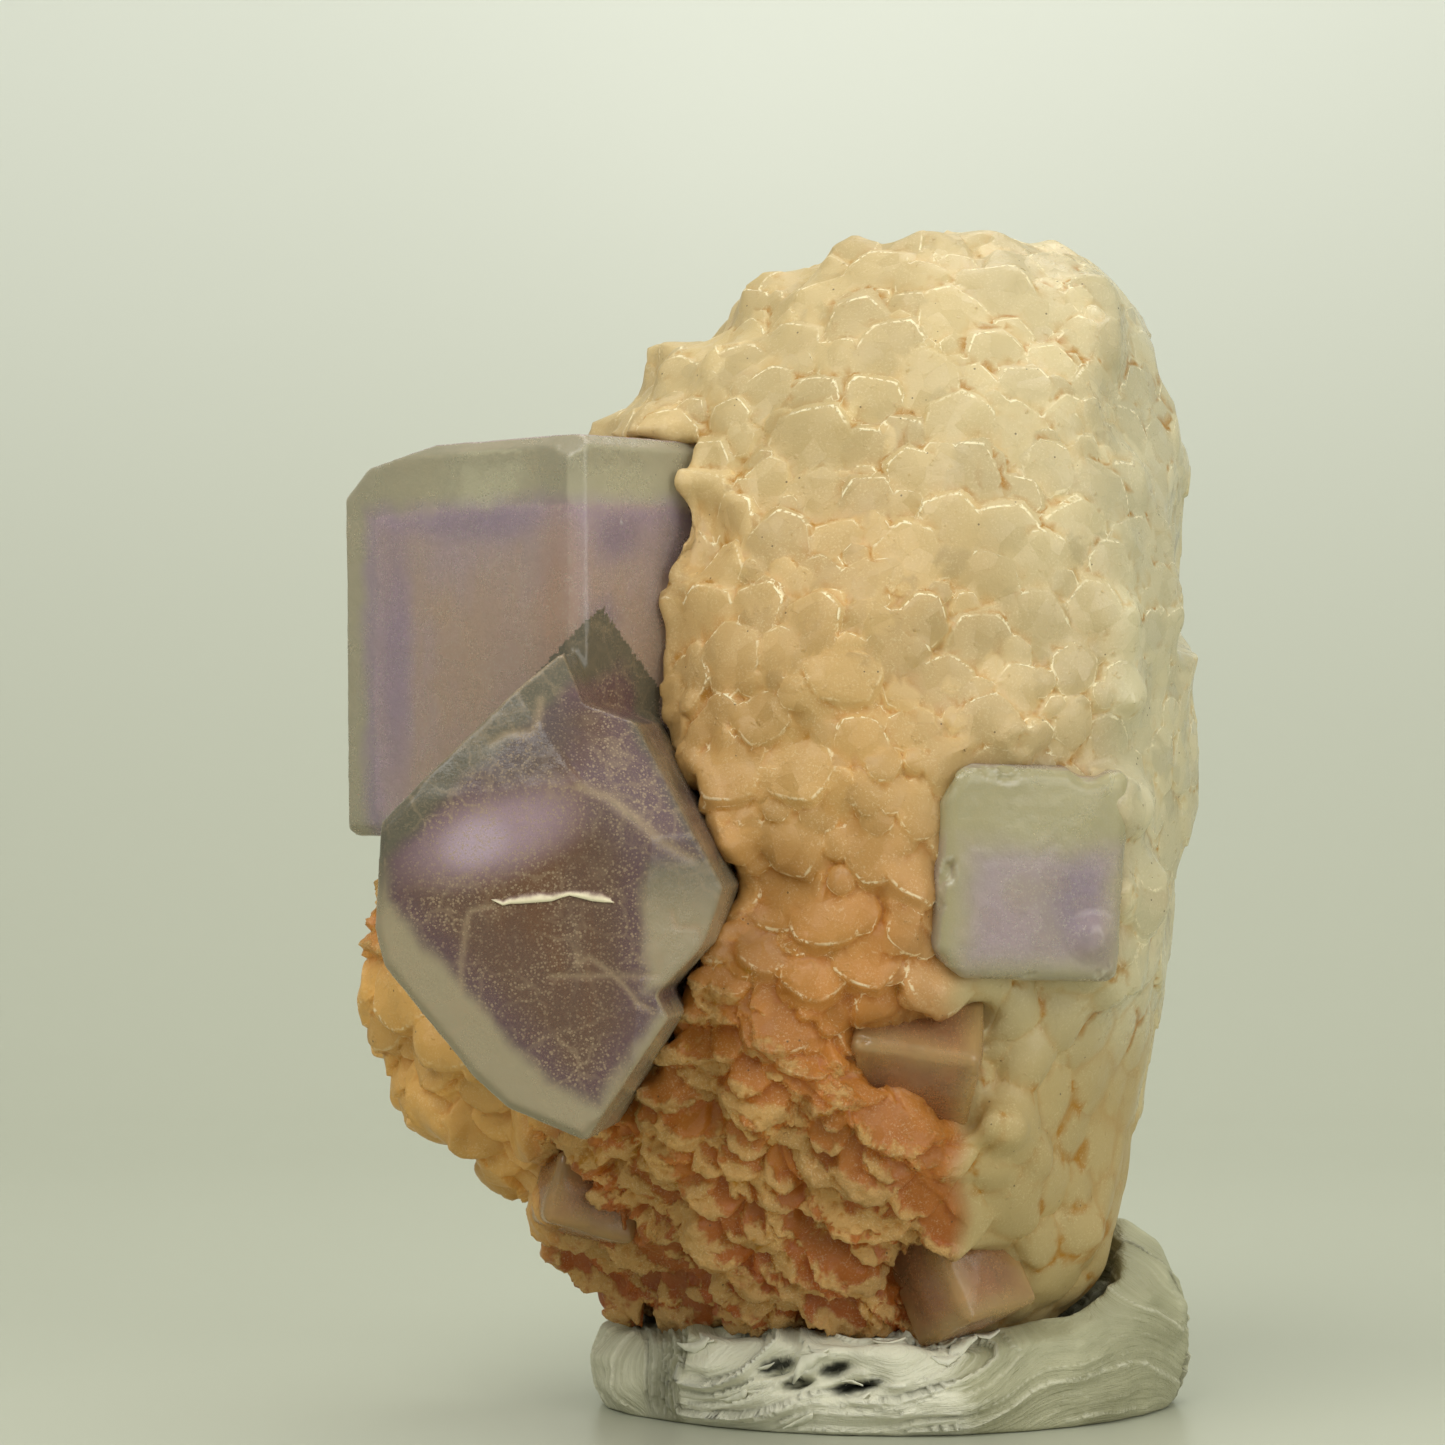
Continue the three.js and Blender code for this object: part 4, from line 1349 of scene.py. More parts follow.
@dataclass
class Druse:
    """The quartz: its matrix under overlapping plates, chalky crusts and broken edges."""

    node: str = "quartz_matrix"
    cell: float = 0.7
    triangles: int = 196000
    behind: int = 46000
    back: float = 7.0
    over: float = 0.6
    deepest: float = -1.8
    clearance: float = -0.9
    inset: float = 0.25
    seed: int = 11
    tiers: tuple[Tier, ...] = (Tier(2.9, 2.3, 0.0, 3), Tier(1.7, 1.25, 0.08, 8))
    drifts: tuple[tuple[float, float, float, float], ...] = (
        (20.6, 39.0, 2.6, 1.4),
        (20.4, 33.5, 1.6, 1.2),
        (14.0, 42.8, 2.2, 0.8),
        (13.2, 19.4, 2.0, 1.0),
        (3.2, 20.8, 1.6, 0.8),
        (-5.8, 55.6, 3.4, -1.2),
    )
    worn: tuple[tuple[Triple, float], ...] = (((27.0, 6.0, 47.2), 4.5),)
    levels: tuple[float, ...] = (18.0, 30.0, 36.0, 44.0, 60.0)
    habits: ClassVar[dict[str, tuple[float, ...]]] = {
        "tilt": (0.5, 0.4, 0.22, 0.14, 0.11),
        "step": (0.5, 0.4, 0.34, 0.22, 0.1),
        "slope": (1.0, 0.9, 0.8, 0.6, 0.4),
        "dome": (0.0, 0.1, 0.18, 0.12, 0.02),
        "facet": (0.06, 0.08, 0.08, 0.08, 0.07),
        "angular": (0.4, 0.45, 0.5, 0.65, 0.9),
        "size": (1.4, 1.15, 0.95, 0.95, 1.05),
        "drop": (0.45, 0.4, 0.3, 0.22, 0.15),
    }
    waxy: ClassVar[dict[str, float]] = {
        "dome": 0.55,
        "step": 0.06,
        "slope": 0.5,
        "facet": 0.0,
        "angular": 0.35,
    }

    def zones(self, points: np.ndarray) -> dict[str, np.ndarray]:
        """Say what the quartz is like at each place.

        Args:
            points: Places in millimetres.

        Returns:
            Shares from 0 to 1 by name: low, high, chalk, wax, gold, glass, broken and grown.
        """
        x, y, z = points.T
        noise = 1.2 * Grain(self.seed + 5).smooth(points, 5.0)
        front = ease(y, 10.0, 6.0)
        (x0, z0), (x1, z1) = (-6.3, 30.6), (10.3, 16.6)
        above = ((x - x0) * (z0 - z1) + (z - z0) * (x1 - x0)) / math.hypot(x1 - x0, z1 - z0) + noise
        wax = ease(x + noise, 9.6, 11.4) * ease(z + noise, 30.4, 28.0) * ease(y, 15.0, 12.0)
        gold = ease(x + noise, -13.0, -16.0) * ease(z, 31.0, 27.0)
        chalk = ease(above, 4.0, -5.0) * front * (1.0 - wax) * (1.0 - gold)
        glass = 0.55 * ease(x + noise, 4.0, 19.0) + 0.45 * ease(x + noise, 18.0, 21.5)
        glass *= ease(z, 20.0, 28.0)
        broken = np.maximum(ease(y + noise, 11.0, 13.5), ease(x + noise, 21.6, 22.8) * ease(y, 0.0, 4.0))
        low = ease(z, 38.0, 22.0) * (1.0 - wax) * ease(y, 14.0, 9.0)
        high = ease(z, 44.0, 62.0)
        grown = ease(z, 3.0, 5.0) * (1.0 - broken)
        shares = {"low": low, "high": high, "chalk": chalk, "wax": wax}
        return shares | {"gold": gold, "glass": glass, "broken": broken, "grown": grown}

    def matrix(self, frame: dict[str, Any], sockets: "Sockets") -> bpy.types.Object:
        """Make the smooth body that the plates lie on.

        Args:
            frame: The loaded frame.
            sockets: Where the fluorites are.

        Returns:
            The body, with the attribute that says where plates may be sown.
        """
        piece = merged_copy(frame["nodes"][self.node], "druse_quartz")
        self._fill(piece, sockets)
        reskin(piece, self.cell)
        drop_crumbs(piece)
        shell = Shell(piece)
        calmed = shell.blurred(shell.points, 40)
        shell.soften(6)
        front = self.zones(shell.points)["grown"] * ease(shell.normals[:, 1], -0.3, -0.7)
        front *= ease(sockets.distances(shell.points), 0.5, 2.5)
        for spot, width in self.worn:
            gap = np.linalg.norm(shell.points - spot, axis=1)
            front = np.maximum(front, ease(gap, width, 0.4 * width))
        shell.points += (calmed - shell.points) * shell.blurred(front, 4)[:, None]
        shell.write()
        zone = self.zones(shell.points)
        drift = self.drifted(shell.points)
        pair = ("fluorite_pair",)
        here = sockets.distances(shell.points, pair)
        toward = here - sockets.distances(shell.points + 0.5 * shell.normals, pair)
        uneven = 0.8 + 0.5 * Grain(self.seed + 2).smooth(shell.points, 1.8)
        close = uneven * ease(toward, 0.05, 0.3) * ease(here, 2.2, 1.0)
        shell.push((drift - self.inset) * zone["grown"] + close)
        free = ease(sockets.distances(shell.points), self.clearance - 0.5, self.clearance)
        shell.mark("grows", np.maximum(free, ease(drift, 0.3, 0.6)) * zone["grown"])
        return piece

    def drifted(self, points: np.ndarray) -> np.ndarray:
        """Say how far the druse has grown out over the rim of a fluorite, or stays back from it.

        Args:
            points: Places in millimetres.

        Returns:
            Heights in millimetres, below 0 where it stays back.
        """
        total = np.zeros(len(points))
        for x, z, width, height in self.drifts:
            gap = np.hypot(points[:, 0] - x, points[:, 2] - z)
            front = ease(points[:, 1], 0.0, -3.0) if height > 0.0 else ease(points[:, 1], 9.0, 6.0)
            total += height * ease(gap, width, 0.4 * width) * front
        return total

    def _fill(self, piece: bpy.types.Object, sockets: "Sockets") -> None:
        """Fill the sockets of the small fluorites, so that the druse closes up to them.

        Args:
            piece: Copy of the quartz.
            sockets: Where the fluorites are.
        """
        form = bmesh.new()
        form.from_mesh(piece.data)
        for mesh, depth in sockets.plugs:
            held = len(form.verts)
            form.from_mesh(mesh)
            form.verts.ensure_lookup_table()
            bmesh.ops.translate(form, vec=(0.0, depth * MM, 0.0), verts=form.verts[held:])
        form.to_mesh(piece.data)
        form.free()

    @staticmethod
    def tree() -> bpy.types.NodeTree:
        """Build the tree that sows plates over the matrix.

        Returns:
            A geometry tree with inputs for the spacing, the seed and the material. It gives one loose
            vertex for each plate, with the outward direction and three random numbers.
        """
        inputs = {"Matrix": "Geometry", "Spacing": "Float", "Seed": "Int", "Material": "Material"}
        tree = new_tree("druse", "Geometry", inputs, {"Plates": "Geometry"})
        wiring = Wiring(tree)
        given = wiring.add("NodeGroupInput").outputs
        grows = wiring.stored("grows", "FLOAT")
        close = wiring.times(given["Spacing"], given["Spacing"])
        spread = wiring.add(
            "GeometryNodeDistributePointsOnFaces",
            {
                "Mesh": given["Matrix"],
                "Distance Min": given["Spacing"],
                "Density Max": wiring.math("DIVIDE", 8.0, close),
                "Density Factor": grows,
                "Seed": given["Seed"],
            },
            distribute_method="POISSON",
        )
        dice = wiring.add(
            "FunctionNodeRandomValue", {0: (0.0, 0.0, 0.0), 1: (1.0, 1.0, 1.0), "Seed": given["Seed"]},
            data_type="FLOAT_VECTOR",
        ).outputs[0]
        sown = spread.outputs["Points"]
        for name, value in (("out", spread.outputs["Normal"]), ("dice", dice)):
            sown = wiring.add(
                "GeometryNodeStoreNamedAttribute",
                {"Geometry": sown, "Name": name, "Value": value},
                data_type="FLOAT_VECTOR",
            ).outputs[0]
        loose = wiring.add("GeometryNodePointsToVertices", {0: sown}).outputs[0]
        real = wiring.add("GeometryNodeRealizeInstances", {0: loose}).outputs[0]
        done = wiring.add("GeometryNodeSetMaterial", {"Geometry": real, "Material": given["Material"]})
        wiring.add("NodeGroupOutput", {0: done.outputs[0]})
        return tree

    def sow(self, piece: bpy.types.Object, finish: bpy.types.Material) -> Plates:
        """Sow the plates over the matrix, large ones first and small ones between them.

        Args:
            piece: The matrix.
            finish: Material of the quartz.

        Returns:
            The plates.
        """
        tree = self.tree()
        place, out, dice, radius, drop = [], [], [], [], []
        for tier in self.tiers:
            layer = new_piece("druse layer", piece.data.copy())
            run_tree(layer, tree, {"Spacing": tier.spacing * MM, "Seed": tier.seed, "Material": finish})
            count = len(layer.data.vertices)
            place.append(Shell(layer).points)
            for name, found in (("out", out), ("dice", dice)):
                flat = np.empty(count * 3, dtype=np.float32)
                layer.data.attributes[name].data.foreach_get("vector", flat)
                found.append(flat.reshape(-1, 3).astype(float))
            radius.append(np.full(count, tier.radius))
            drop.append(np.full(count, tier.drop))
            bpy.data.objects.remove(layer)
        return self._shape(*(np.concatenate(part) for part in (place, out, dice, radius, drop)))

    def _shape(
        self, place: np.ndarray, out: np.ndarray, dice: np.ndarray, radius: np.ndarray, drop: np.ndarray
    ) -> Plates:
        """Give each plate the tilt, the dome and the facets of its zone.

        Args:
            place: Middles of the plates.
            out: Directions out of the matrix.
            dice: Three random numbers for each.
            radius: Their usual radius.
            drop: How deep they sit.

        Returns:
            The plates.
        """
        zone = self.zones(place)
        low, wax = zone["low"], zone["wax"]
        habit = {name: np.interp(place[:, 2], self.levels, values) for name, values in self.habits.items()}
        swing = (1.0 + 0.2 * low[:, None]) * (dice - 0.5)
        down = (-0.12 - 0.45 * low + swing[:, 0], np.zeros(len(place)), -0.95 + swing[:, 1])
        down = np.stack(down, axis=1)
        tip = down - out * (down * out).sum(axis=1, keepdims=True)
        tip /= np.linalg.norm(tip, axis=1, keepdims=True) + 1e-6
        lifted = np.where(place[:, 2] + 12.0 * (dice[:, 1] - 0.5) < 42.0, 1.0, -1.0)
        habit["tilt"] *= lifted * (0.6 + 0.8 * ((dice[:, 0] * 7.3) % 1.0)) * (1.0 - 0.9 * wax)
        for name, value in self.waxy.items():
            habit[name] += wax * (value - habit[name])
        draw = np.random.default_rng(self.seed)
        sunk = 1.3 * zone["chalk"] * (draw.random(len(place)) < 0.45)
        return Plates(
            place=place,
            out=out,
            tip=tip,
            side=np.cross(out, tip),
            radius=radius * (0.76 + 0.5 * dice[:, 2] ** 1.3) * (habit["size"] - 0.22 * wax),
            drop=drop * (1.0 + 6.0 * wax) + habit["drop"] * dice[:, 1] * (1.0 - 0.6 * wax) + sunk,
            spin=math.tau * dice[:, 0],
            tone=(dice[:, 2] * 5.7) % 1.0,
            skew=draw.uniform(0.82, 1.2, (len(place), 6)),
            habit=habit,
        )

    def ledges(self, points: np.ndarray) -> tuple[np.ndarray, np.ndarray]:
        """Follow the ledges that run down to the right over the low part of the face.

        Args:
            points: Places in millimetres.

        Returns:
            The share of the way up from a ledge's lip to the next lip, and how far the ledge stands
            out there, in millimetres.
        """
        grain = Grain(self.seed + 3)
        x, y, z = points.T
        run, rise = 0.77 * x - 0.64 * z, 0.64 * x + 0.77 * z
        drawn = np.stack((0.45 * run, rise, 0.4 * y), axis=1)
        up = (rise / 4.4 + 0.75 * grain.layered(drawn, 4.0, 3)) % 1.0
        strength = 0.65 + 0.9 * grain.smooth(points + 8.0, 3.4)
        return up, np.clip(strength, 0.1, 1.3) * (1.0 - up) * ease(up, 1.0, 0.93)

    def weather(self, shell: Shell, plates: Plates) -> None:
        """Give the smooth skin its plates, crusts, breaks and fine relief.

        Args:
            shell: The skin.
            plates: The plates.
        """
        grain = Grain(self.seed)
        points = shell.points
        zone = self.zones(points)
        warp = 0.3 * zone["low"] * grain.smooth(points, 1.2)
        laid = plates.lay(points + warp[:, None])
        crust = self.crusted(points, zone, laid)
        rough = grain.layered(points, 1.0, 3)
        crumbs = 1.0 - 2.0 * np.abs(grain.smooth(points + 40.0, 0.7))
        _, away, cell = grain.cells(points + 0.6 * grain.smooth(points, 2.5)[:, None], 6.0)
        facet = 0.3 * (away * grain.slopes[cell]).sum(axis=1)
        _, away, cell = grain.cells(points, 2.4)
        facet += 0.14 * (away * grain.slopes[cell]).sum(axis=1)
        facet *= 1.0 - 0.75 * ease(points[:, 0], 18.5, 20.5)
        calm = 1.0 - 0.65 * ease(points[:, 0], 18.5, 21.0)
        height = np.maximum(laid["height"], self.deepest) * calm
        height += 0.6 * zone["chalk"] * (self.ledges(points)[1] - 0.4)
        powder = crust * (0.2 + 0.4 * rough + 0.22 * crumbs)
        shell.push(height * zone["grown"] + powder + zone["broken"] * facet)

    def crusted(
        self, points: np.ndarray, zone: dict[str, np.ndarray], laid: dict[str, np.ndarray]
    ) -> np.ndarray:
        """Return how far a chalky crust covers each place: the lips of the ledges and the low plates."""
        up, _ = self.ledges(points)
        lip = 0.05 - 0.45 * up + 0.75 * laid["along"] + 0.6 * Grain(self.seed).layered(points, 1.8, 4)
        return zone["chalk"] * ease(lip + 0.5 * (zone["chalk"] - 1.0), 0.0, 0.3)

    def mark(self, shell: Shell, plates: Plates) -> None:
        """Store what the material reads: zones, tones, creases and low hollows that get painted shade, and
        plate edges that get painted highlights.

        Args:
            shell: The finished skin.
            plates: The plates.
        """
        zone = self.zones(shell.points)
        laid = plates.lay(shell.points)
        grown, wax = zone["grown"], zone["wax"]
        # Where a plate meets the next one or the skin dips: creases marked for painted shade.
        foot = ease(laid["gap"], 0.14 + 0.1 * wax, 0.0)
        foot *= ease(laid["beyond"], 0.94 - 0.3 * wax, 1.02 - 0.24 * wax)
        crease_shade = np.maximum(foot, ease(shell.relief(6), -0.03, -0.16)) * grown
        shell.mark("tone", 0.5 + (laid["tone"] - 0.5) * grown * (1.0 - 0.6 * wax))
        shell.mark("groove", crease_shade * (1.0 - 0.5 * zone["high"]) * (1.0 - 0.4 * wax))
        band = wax * ease(laid["gap"], 0.4, 0.05) * ease(laid["beyond"], 0.55, 0.8)
        shell.mark("rusty", np.maximum(crease_shade * ease(laid["gap"], 0.08, 0.0), band))
        shell.mark("reach", laid["reach"])
        # Edge lines: painted highlights on the upper sides of the plates near the crown, pale lips on their
        # lower sides further down.
        height = shell.points[:, 2]
        upper = 0.4 + 0.6 * ease(laid["along"], 0.1, -0.4)
        level = ease(height, 34.0, 42.0)
        proud = ease(laid["gap"], 0.0, 0.06) * (1.0 - wax)
        lower = 0.6 * ease(laid["along"], 0.1, 0.5) * (1.0 - zone["chalk"]) * ease(height, 20.0, 26.0)
        shell.mark("arc", (level * upper + (1.0 - level) * lower) * grown * proud)
        for name in ("wax", "gold"):
            shell.mark(name, zone[name])
        shell.mark("glass", np.maximum(zone["glass"], 0.6 * zone["broken"]))
        shell.mark("chalk", self.crusted(shell.points, zone, laid))
        # The upper part of each low plate, under the lip above it, is marked for painted shade.
        hollow = ease(laid["along"], 0.5, -0.5)
        shell.mark("deep", hollow * zone["low"] * (1.0 - zone["gold"]) * grown)

    def build(self, frame: dict[str, Any], sockets: "Sockets") -> None:
        """Make the quartz and set it in the frame.

        Args:
            frame: The loaded frame.
            sockets: Where the fluorites are.
        """
        finish = QuartzFinish().material()
        piece = self.matrix(frame, sockets)
        plates = self.sow(piece, finish)
        log.info("druse: %d plates", len(plates.place))
        smooth = piece.modifiers.new("smooth", "SUBSURF")
        smooth.levels = smooth.render_levels = 2
        settle(piece)
        shell = Shell(piece)
        self.weather(shell, plates)
        low, high = box_of(self.node)
        shell.points = np.clip(shell.points, low - self.over, high + self.over)
        shell.points[:, 2] = np.maximum(shell.points[:, 2], low[2])
        shell.write()
        sockets.cut(piece)
        depth = Shell(piece).points[:, 1]
        ahead = int(faces_of(piece.data) * float((depth < self.back).mean()))
        thin_out(piece, ahead + self.behind, depth > self.back)
        thin_out(piece, self.triangles, Shell(piece).points[:, 1] < self.back + 0.5)
        drop_crumbs(piece)
        self.mark(Shell(piece), plates)
        dress(piece, finish, Slot.QUARTZ)
        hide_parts(self.node)


class Sockets:
    """The room that the fluorites take out of the quartz."""

    PROUD: ClassVar[dict[str, float]] = {
        "fluorite_right": 0.9,
        "fluorite_centre": 1.2,
        "fluorite_corner": 1.3,
        "fluorite_low_left": 1.2,
    }
    OVERCUT = 0.25
    REACH = 4.0
    FAR = 50.0

    def __init__(self, frame: dict[str, Any], nodes: Sequence[str]) -> None:
        """Read the fluorite solids.

        Args:
            frame: The loaded frame.
            nodes: Names of the fluorite nodes.
        """
        self.trees: dict[str, tuple[BVHTree, np.ndarray, np.ndarray]] = {}
        self.plugs: list[tuple[bpy.types.Mesh, float]] = []
        self.solids: list[bpy.types.Object] = []
        for name in nodes:
            solid = merged_copy(frame["nodes"][name], name + "_socket")
            form = bmesh.new()
            form.from_mesh(solid.data)
            bmesh.ops.scale(form, vec=(1.0 / MM,) * 3, verts=form.verts)
            self.trees[name] = (BVHTree.FromBMesh(form), *box_of(name))
            form.free()
            if name in self.PROUD:
                self.plugs.append((solid.data, self.PROUD[name]))
                bpy.data.objects.remove(solid)
            else:
                shell = Shell(solid)
                shell.push(np.full(len(shell.points), -self.OVERCUT))
                self.solids.append(solid)

    def distances(self, points: np.ndarray, names: Iterable[str] | None = None) -> np.ndarray:
        """Measure how far each point is from the nearest fluorite, below 0 inside one.

        Args:
            points: Places in millimetres.
            names: The fluorites that count, or None for all.

        Returns:
            Distances in millimetres. Places far from all of them get a large one.
        """
        found = np.full(len(points), self.FAR)
        for tree, low, high in (self.trees[name] for name in (names or self.trees)):
            near = np.all((points > low - self.REACH) & (points < high + self.REACH), axis=1)
            for index in np.flatnonzero(near):
                spot = Vector(points[index])
                hit, normal, _, gap = tree.find_nearest(spot)
                side = -1.0 if (spot - hit).dot(normal) < 0.0 else 1.0
                found[index] = min(found[index], side * gap)
        return found

    def cut(self, piece: bpy.types.Object) -> None:
        """Cut the sockets out of a skin and drop the copies of the solids.

        Args:
            piece: Closed skin.
        """
        for solid in self.solids:
            cutter = piece.modifiers.new("socket", "BOOLEAN")
            cutter.operation = "DIFFERENCE"
            cutter.solver = "MANIFOLD"
            cutter.object = solid
        settle(piece)
        for solid in self.solids:
            bpy.data.objects.remove(solid)


@dataclass
class Putty:
    """The pad of putty: twisted strands, folds, holes and torn flakes."""

    node: str = "putty_base"
    cell: float = 0.21
    triangles: int = 196000
    seed: int = 23
    holes: tuple[tuple[float, float, float, float], ...] = (
        (-1.9, 6.6, 1.5, 0.5),
        (-0.4, 4.1, 1.2, 0.45),
        (3.1, 4.1, 1.0, 0.4),
        (4.5, 3.1, 1.6, 0.4),
        (0.8, 3.2, 0.9, 0.3),
    )

    def build(self, frame: dict[str, Any]) -> None:
        """Knead the pad, tear its flakes and set both in the frame.

        Args:
            frame: The loaded frame.
        """
        piece = merged_copy(frame["nodes"][self.node], "kneaded_putty")
        reskin(piece, self.cell)
        shell = Shell(piece)
        shell.soften(8)
        self._knead(shell)
        thin_out(piece, self.triangles)
        self._mark(Shell(piece))
        finish = PuttyFinish().material()
        dress(piece, finish, Slot.PUTTY)
        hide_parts(self.node)
        self._tear(piece, finish)

    def _course(self, points: np.ndarray) -> dict[str, np.ndarray]:
        """Follow the strands round the pad.

        Args:
            points: Places in millimetres.

        Returns:
            By name: course along the strands, strand across them, both in millimetres, and the shares of
                the wrapped left end, which the material lightens as painted light, and of the torn front.
        """
        low, high = box_of(self.node)
        x, y, _ = (points - (low + high) / 2.0).T
        turn = np.arctan2(x, -y)
        course = 17.0 * turn
        reach = np.hypot(x, y)
        bend = 0.8 * Grain(self.seed + 1).smooth(points, 6.0)
        strand = points[:, 2] - 6.5 * ease(points[:, 0], 7.0, 24.0) * (y < 0.0) + 0.8 * reach + bend
        wound = ease(points[:, 0] + 1.5 * bend, -6.0, -9.0)
        torn = ease(points[:, 0] + 3.0 * bend, -9.0, -4.0) * ease(points[:, 0] + 3.0 * bend, 16.0, 8.0)
        torn = torn * ease(y, -6.0, -9.0)
        return {
            "course": course * (1.0 - wound) + strand * wound,
            "strand": strand * (1.0 - wound) + (course + 0.4 * strand) * wound,
            "wound": wound,
            "torn": torn,
            "turn": turn,
        }

    def _pits(self, points: np.ndarray) -> np.ndarray:
        """Return how far each place lies in one of the holes, which are painted dark as shadow, from 0 to
        1.
        """
        front = ease(points[:, 1], 0.0, -4.0)
        deepest = np.zeros(len(points))
        for x, z, width, height in self.holes:
            across = (points[:, 0] - x) / width
            up = (points[:, 2] - z - 0.25 * (points[:, 0] - x)) / height
            deepest = np.maximum(deepest, np.exp(-(across**2) - up**2))
        return deepest * front

    def _knead(self, shell: Shell) -> None:
        """Press strands, sheets and holes into the pad.

        Args:
            shell: The smooth pad.
        """
        grain = Grain(self.seed)
        low, high = box_of(self.node)
        points = shell.points
        way = self._course(points)
        drawn = np.stack((0.13 * way["course"], way["strand"], np.zeros(len(points))), axis=1)
        ridge = 1.0 - 2.0 * np.abs(grain.layered(drawn, 1.3, 4))
        broad = grain.smooth(drawn + 9.0, 3.2)
        wide = (way["strand"] / 2.6 + 0.8 * grain.layered(drawn + 30.0, 2.6, 2)) % 1.0
        thin = (way["strand"] / 1.1 + 1.1 * grain.layered(drawn + 60.0, 1.6, 3)) % 1.0
        sheet = 0.8 * (wide**2 - 0.4) + 0.3 * (thin**2 - 0.4)
        strength = 0.3 + 0.9 * way["torn"]
        side = ease(points[:, 2], 0.1, 1.0)
        lift = strength * (0.3 * ridge + 0.8 * sheet) + 0.35 * broad
        shell.push(side * (lift - 1.7 * self._pits(points)))
        shell.points = np.clip(shell.points, low - 0.4, high + 0.3)
        shell.points[:, 2] = np.maximum(shell.points[:, 2], 0.0)
        shell.write()

    def _mark(self, shell: Shell) -> None:
        """Store what the material and the flakes read.

        Args:
            shell: The finished pad.
        """
        way = self._course(shell.points)
        for name in ("course", "strand", "torn", "wound"):
            shell.mark(name, way[name])
        shell.mark("hole", ease(self._pits(shell.points), 0.25, 0.6))
        # Dips in the pad are marked for painted shade.
        shell.mark("groove", ease(shell.relief(10), -0.06, -0.3))
        shell.mark("edge", ease(shell.relief(3), 0.02, 0.08))
        flaky = way["torn"] * ease(shell.relief(10), -0.02, 0.1)
        shell.mark("flaky", flaky * ease(shell.points[:, 2], 1.0, 2.0))
        turn = way["turn"]
        flow = np.stack((np.cos(turn), np.sin(turn), np.full(len(turn), 0.25)), axis=1)
        layer = shell.piece.data.attributes.new("flow", "FLOAT_VECTOR", "POINT")
        layer.data.foreach_set("vector", flow.astype(np.float32).ravel())

    @staticmethod
    def _slivers() -> bpy.types.Collection:
        """Make the few shapes of torn flake that the pad repeats, one unit long."""
        shelf = bpy.data.collections.new("putty slivers")
        draw = np.random.default_rng(6)
        for kind in range(5):
            form = bmesh.new()
            bow, curl = draw.uniform(-0.25, 0.25), draw.uniform(0.15, 0.5)
            rows = []
            for share in (0.0, 0.2, 0.5, 0.8, 1.0):
                half = 0.02 + 0.13 * math.sin(math.pi * share) * draw.uniform(0.7, 1.3)
                lift = curl * abs(share - 0.4) ** 1.6
                middle = bow * share * (1.0 - share) * 4.0
                rows.append(
                    [
                        form.verts.new((share - 0.5, middle + side * half, lift + level))
                        for side, level in ((-1.0, 0.0), (1.0, 0.05), (1.0, -0.02), (-1.0, -0.05))
                    ]
                )
            join_rows(form, rows, closed=True)
            bmesh.ops.recalc_face_normals(form, faces=form.faces)
            mesh = bpy.data.meshes.new(f"putty sliver {kind + 1}")
            form.to_mesh(mesh)
            form.free()
            shelf.objects.link(bpy.data.objects.new(mesh.name, mesh))
        return shelf

    @staticmethod
    def _tree() -> bpy.types.NodeTree:
        """Build the tree that lays slivers along the strands.

        Returns:
            A geometry tree with inputs for the number, the length, the seed, the shapes and the material.
        """
        inputs = {"Pad": "Geometry", "Density": "Float", "Length": "Float", "Seed": "Int"}
        inputs |= {"Slivers": "Collection", "Material": "Material"}
        tree = new_tree("torn putty", "Geometry", inputs, {"Flakes": "Geometry"})
        wiring = Wiring(tree)
        given = wiring.add("NodeGroupInput").outputs
        flaky, flow = wiring.stored("flaky", "FLOAT"), wiring.stored("flow", "FLOAT_VECTOR")
        spread = wiring.add(
            "GeometryNodeDistributePointsOnFaces",
            {
                "Mesh": given["Pad"],
                "Density": wiring.times(given["Density"], flaky),
                "Seed": given["Seed"],
            },
        )
        align, roll = "FunctionNodeAlignRotationToVector", "FunctionNodeRandomValue"
        stand = wiring.add(align, {"Vector": spread.outputs["Normal"]}, axis="Z").outputs[0]
        stand = wiring.add(align, {"Rotation": stand, "Vector": flow}, axis="X", pivot_axis="Z")
        dice = wiring.add(roll, {2: -0.5, 3: 0.5, "Seed": given["Seed"]}, data_type="FLOAT")
        spin = wiring.add("ShaderNodeCombineXYZ", {"Z": dice.outputs[1]}).outputs[0]
        spin = wiring.add("FunctionNodeEulerToRotation", {0: spin}).outputs[0]
        turned = wiring.add(
            "FunctionNodeRotateRotation", {0: stand.outputs[0], 1: spin}, rotation_space="LOCAL"
        ).outputs[0]
        grow = wiring.add(roll, {2: 0.5, 3: 1.3, "Seed": given["Seed"]}, data_type="FLOAT")
        size = wiring.times(given["Length"], grow.outputs[1])
        shapes = wiring.add(
            "GeometryNodeCollectionInfo",
            {"Collection": given["Slivers"], "Separate Children": True, "Reset Children": True},
        ).outputs[0]
        laid = wiring.add(
            "GeometryNodeInstanceOnPoints",
            {
                "Points": spread.outputs["Points"],
                "Instance": shapes,
                "Pick Instance": True,
                "Rotation": turned,
                "Scale": size,
            },
        ).outputs[0]
        real = wiring.add("GeometryNodeRealizeInstances", {0: laid}).outputs[0]
        done = wiring.add("GeometryNodeSetMaterial", {"Geometry": real, "Material": given["Material"]})
        wiring.add("NodeGroupOutput", {0: done.outputs[0]})
        return tree

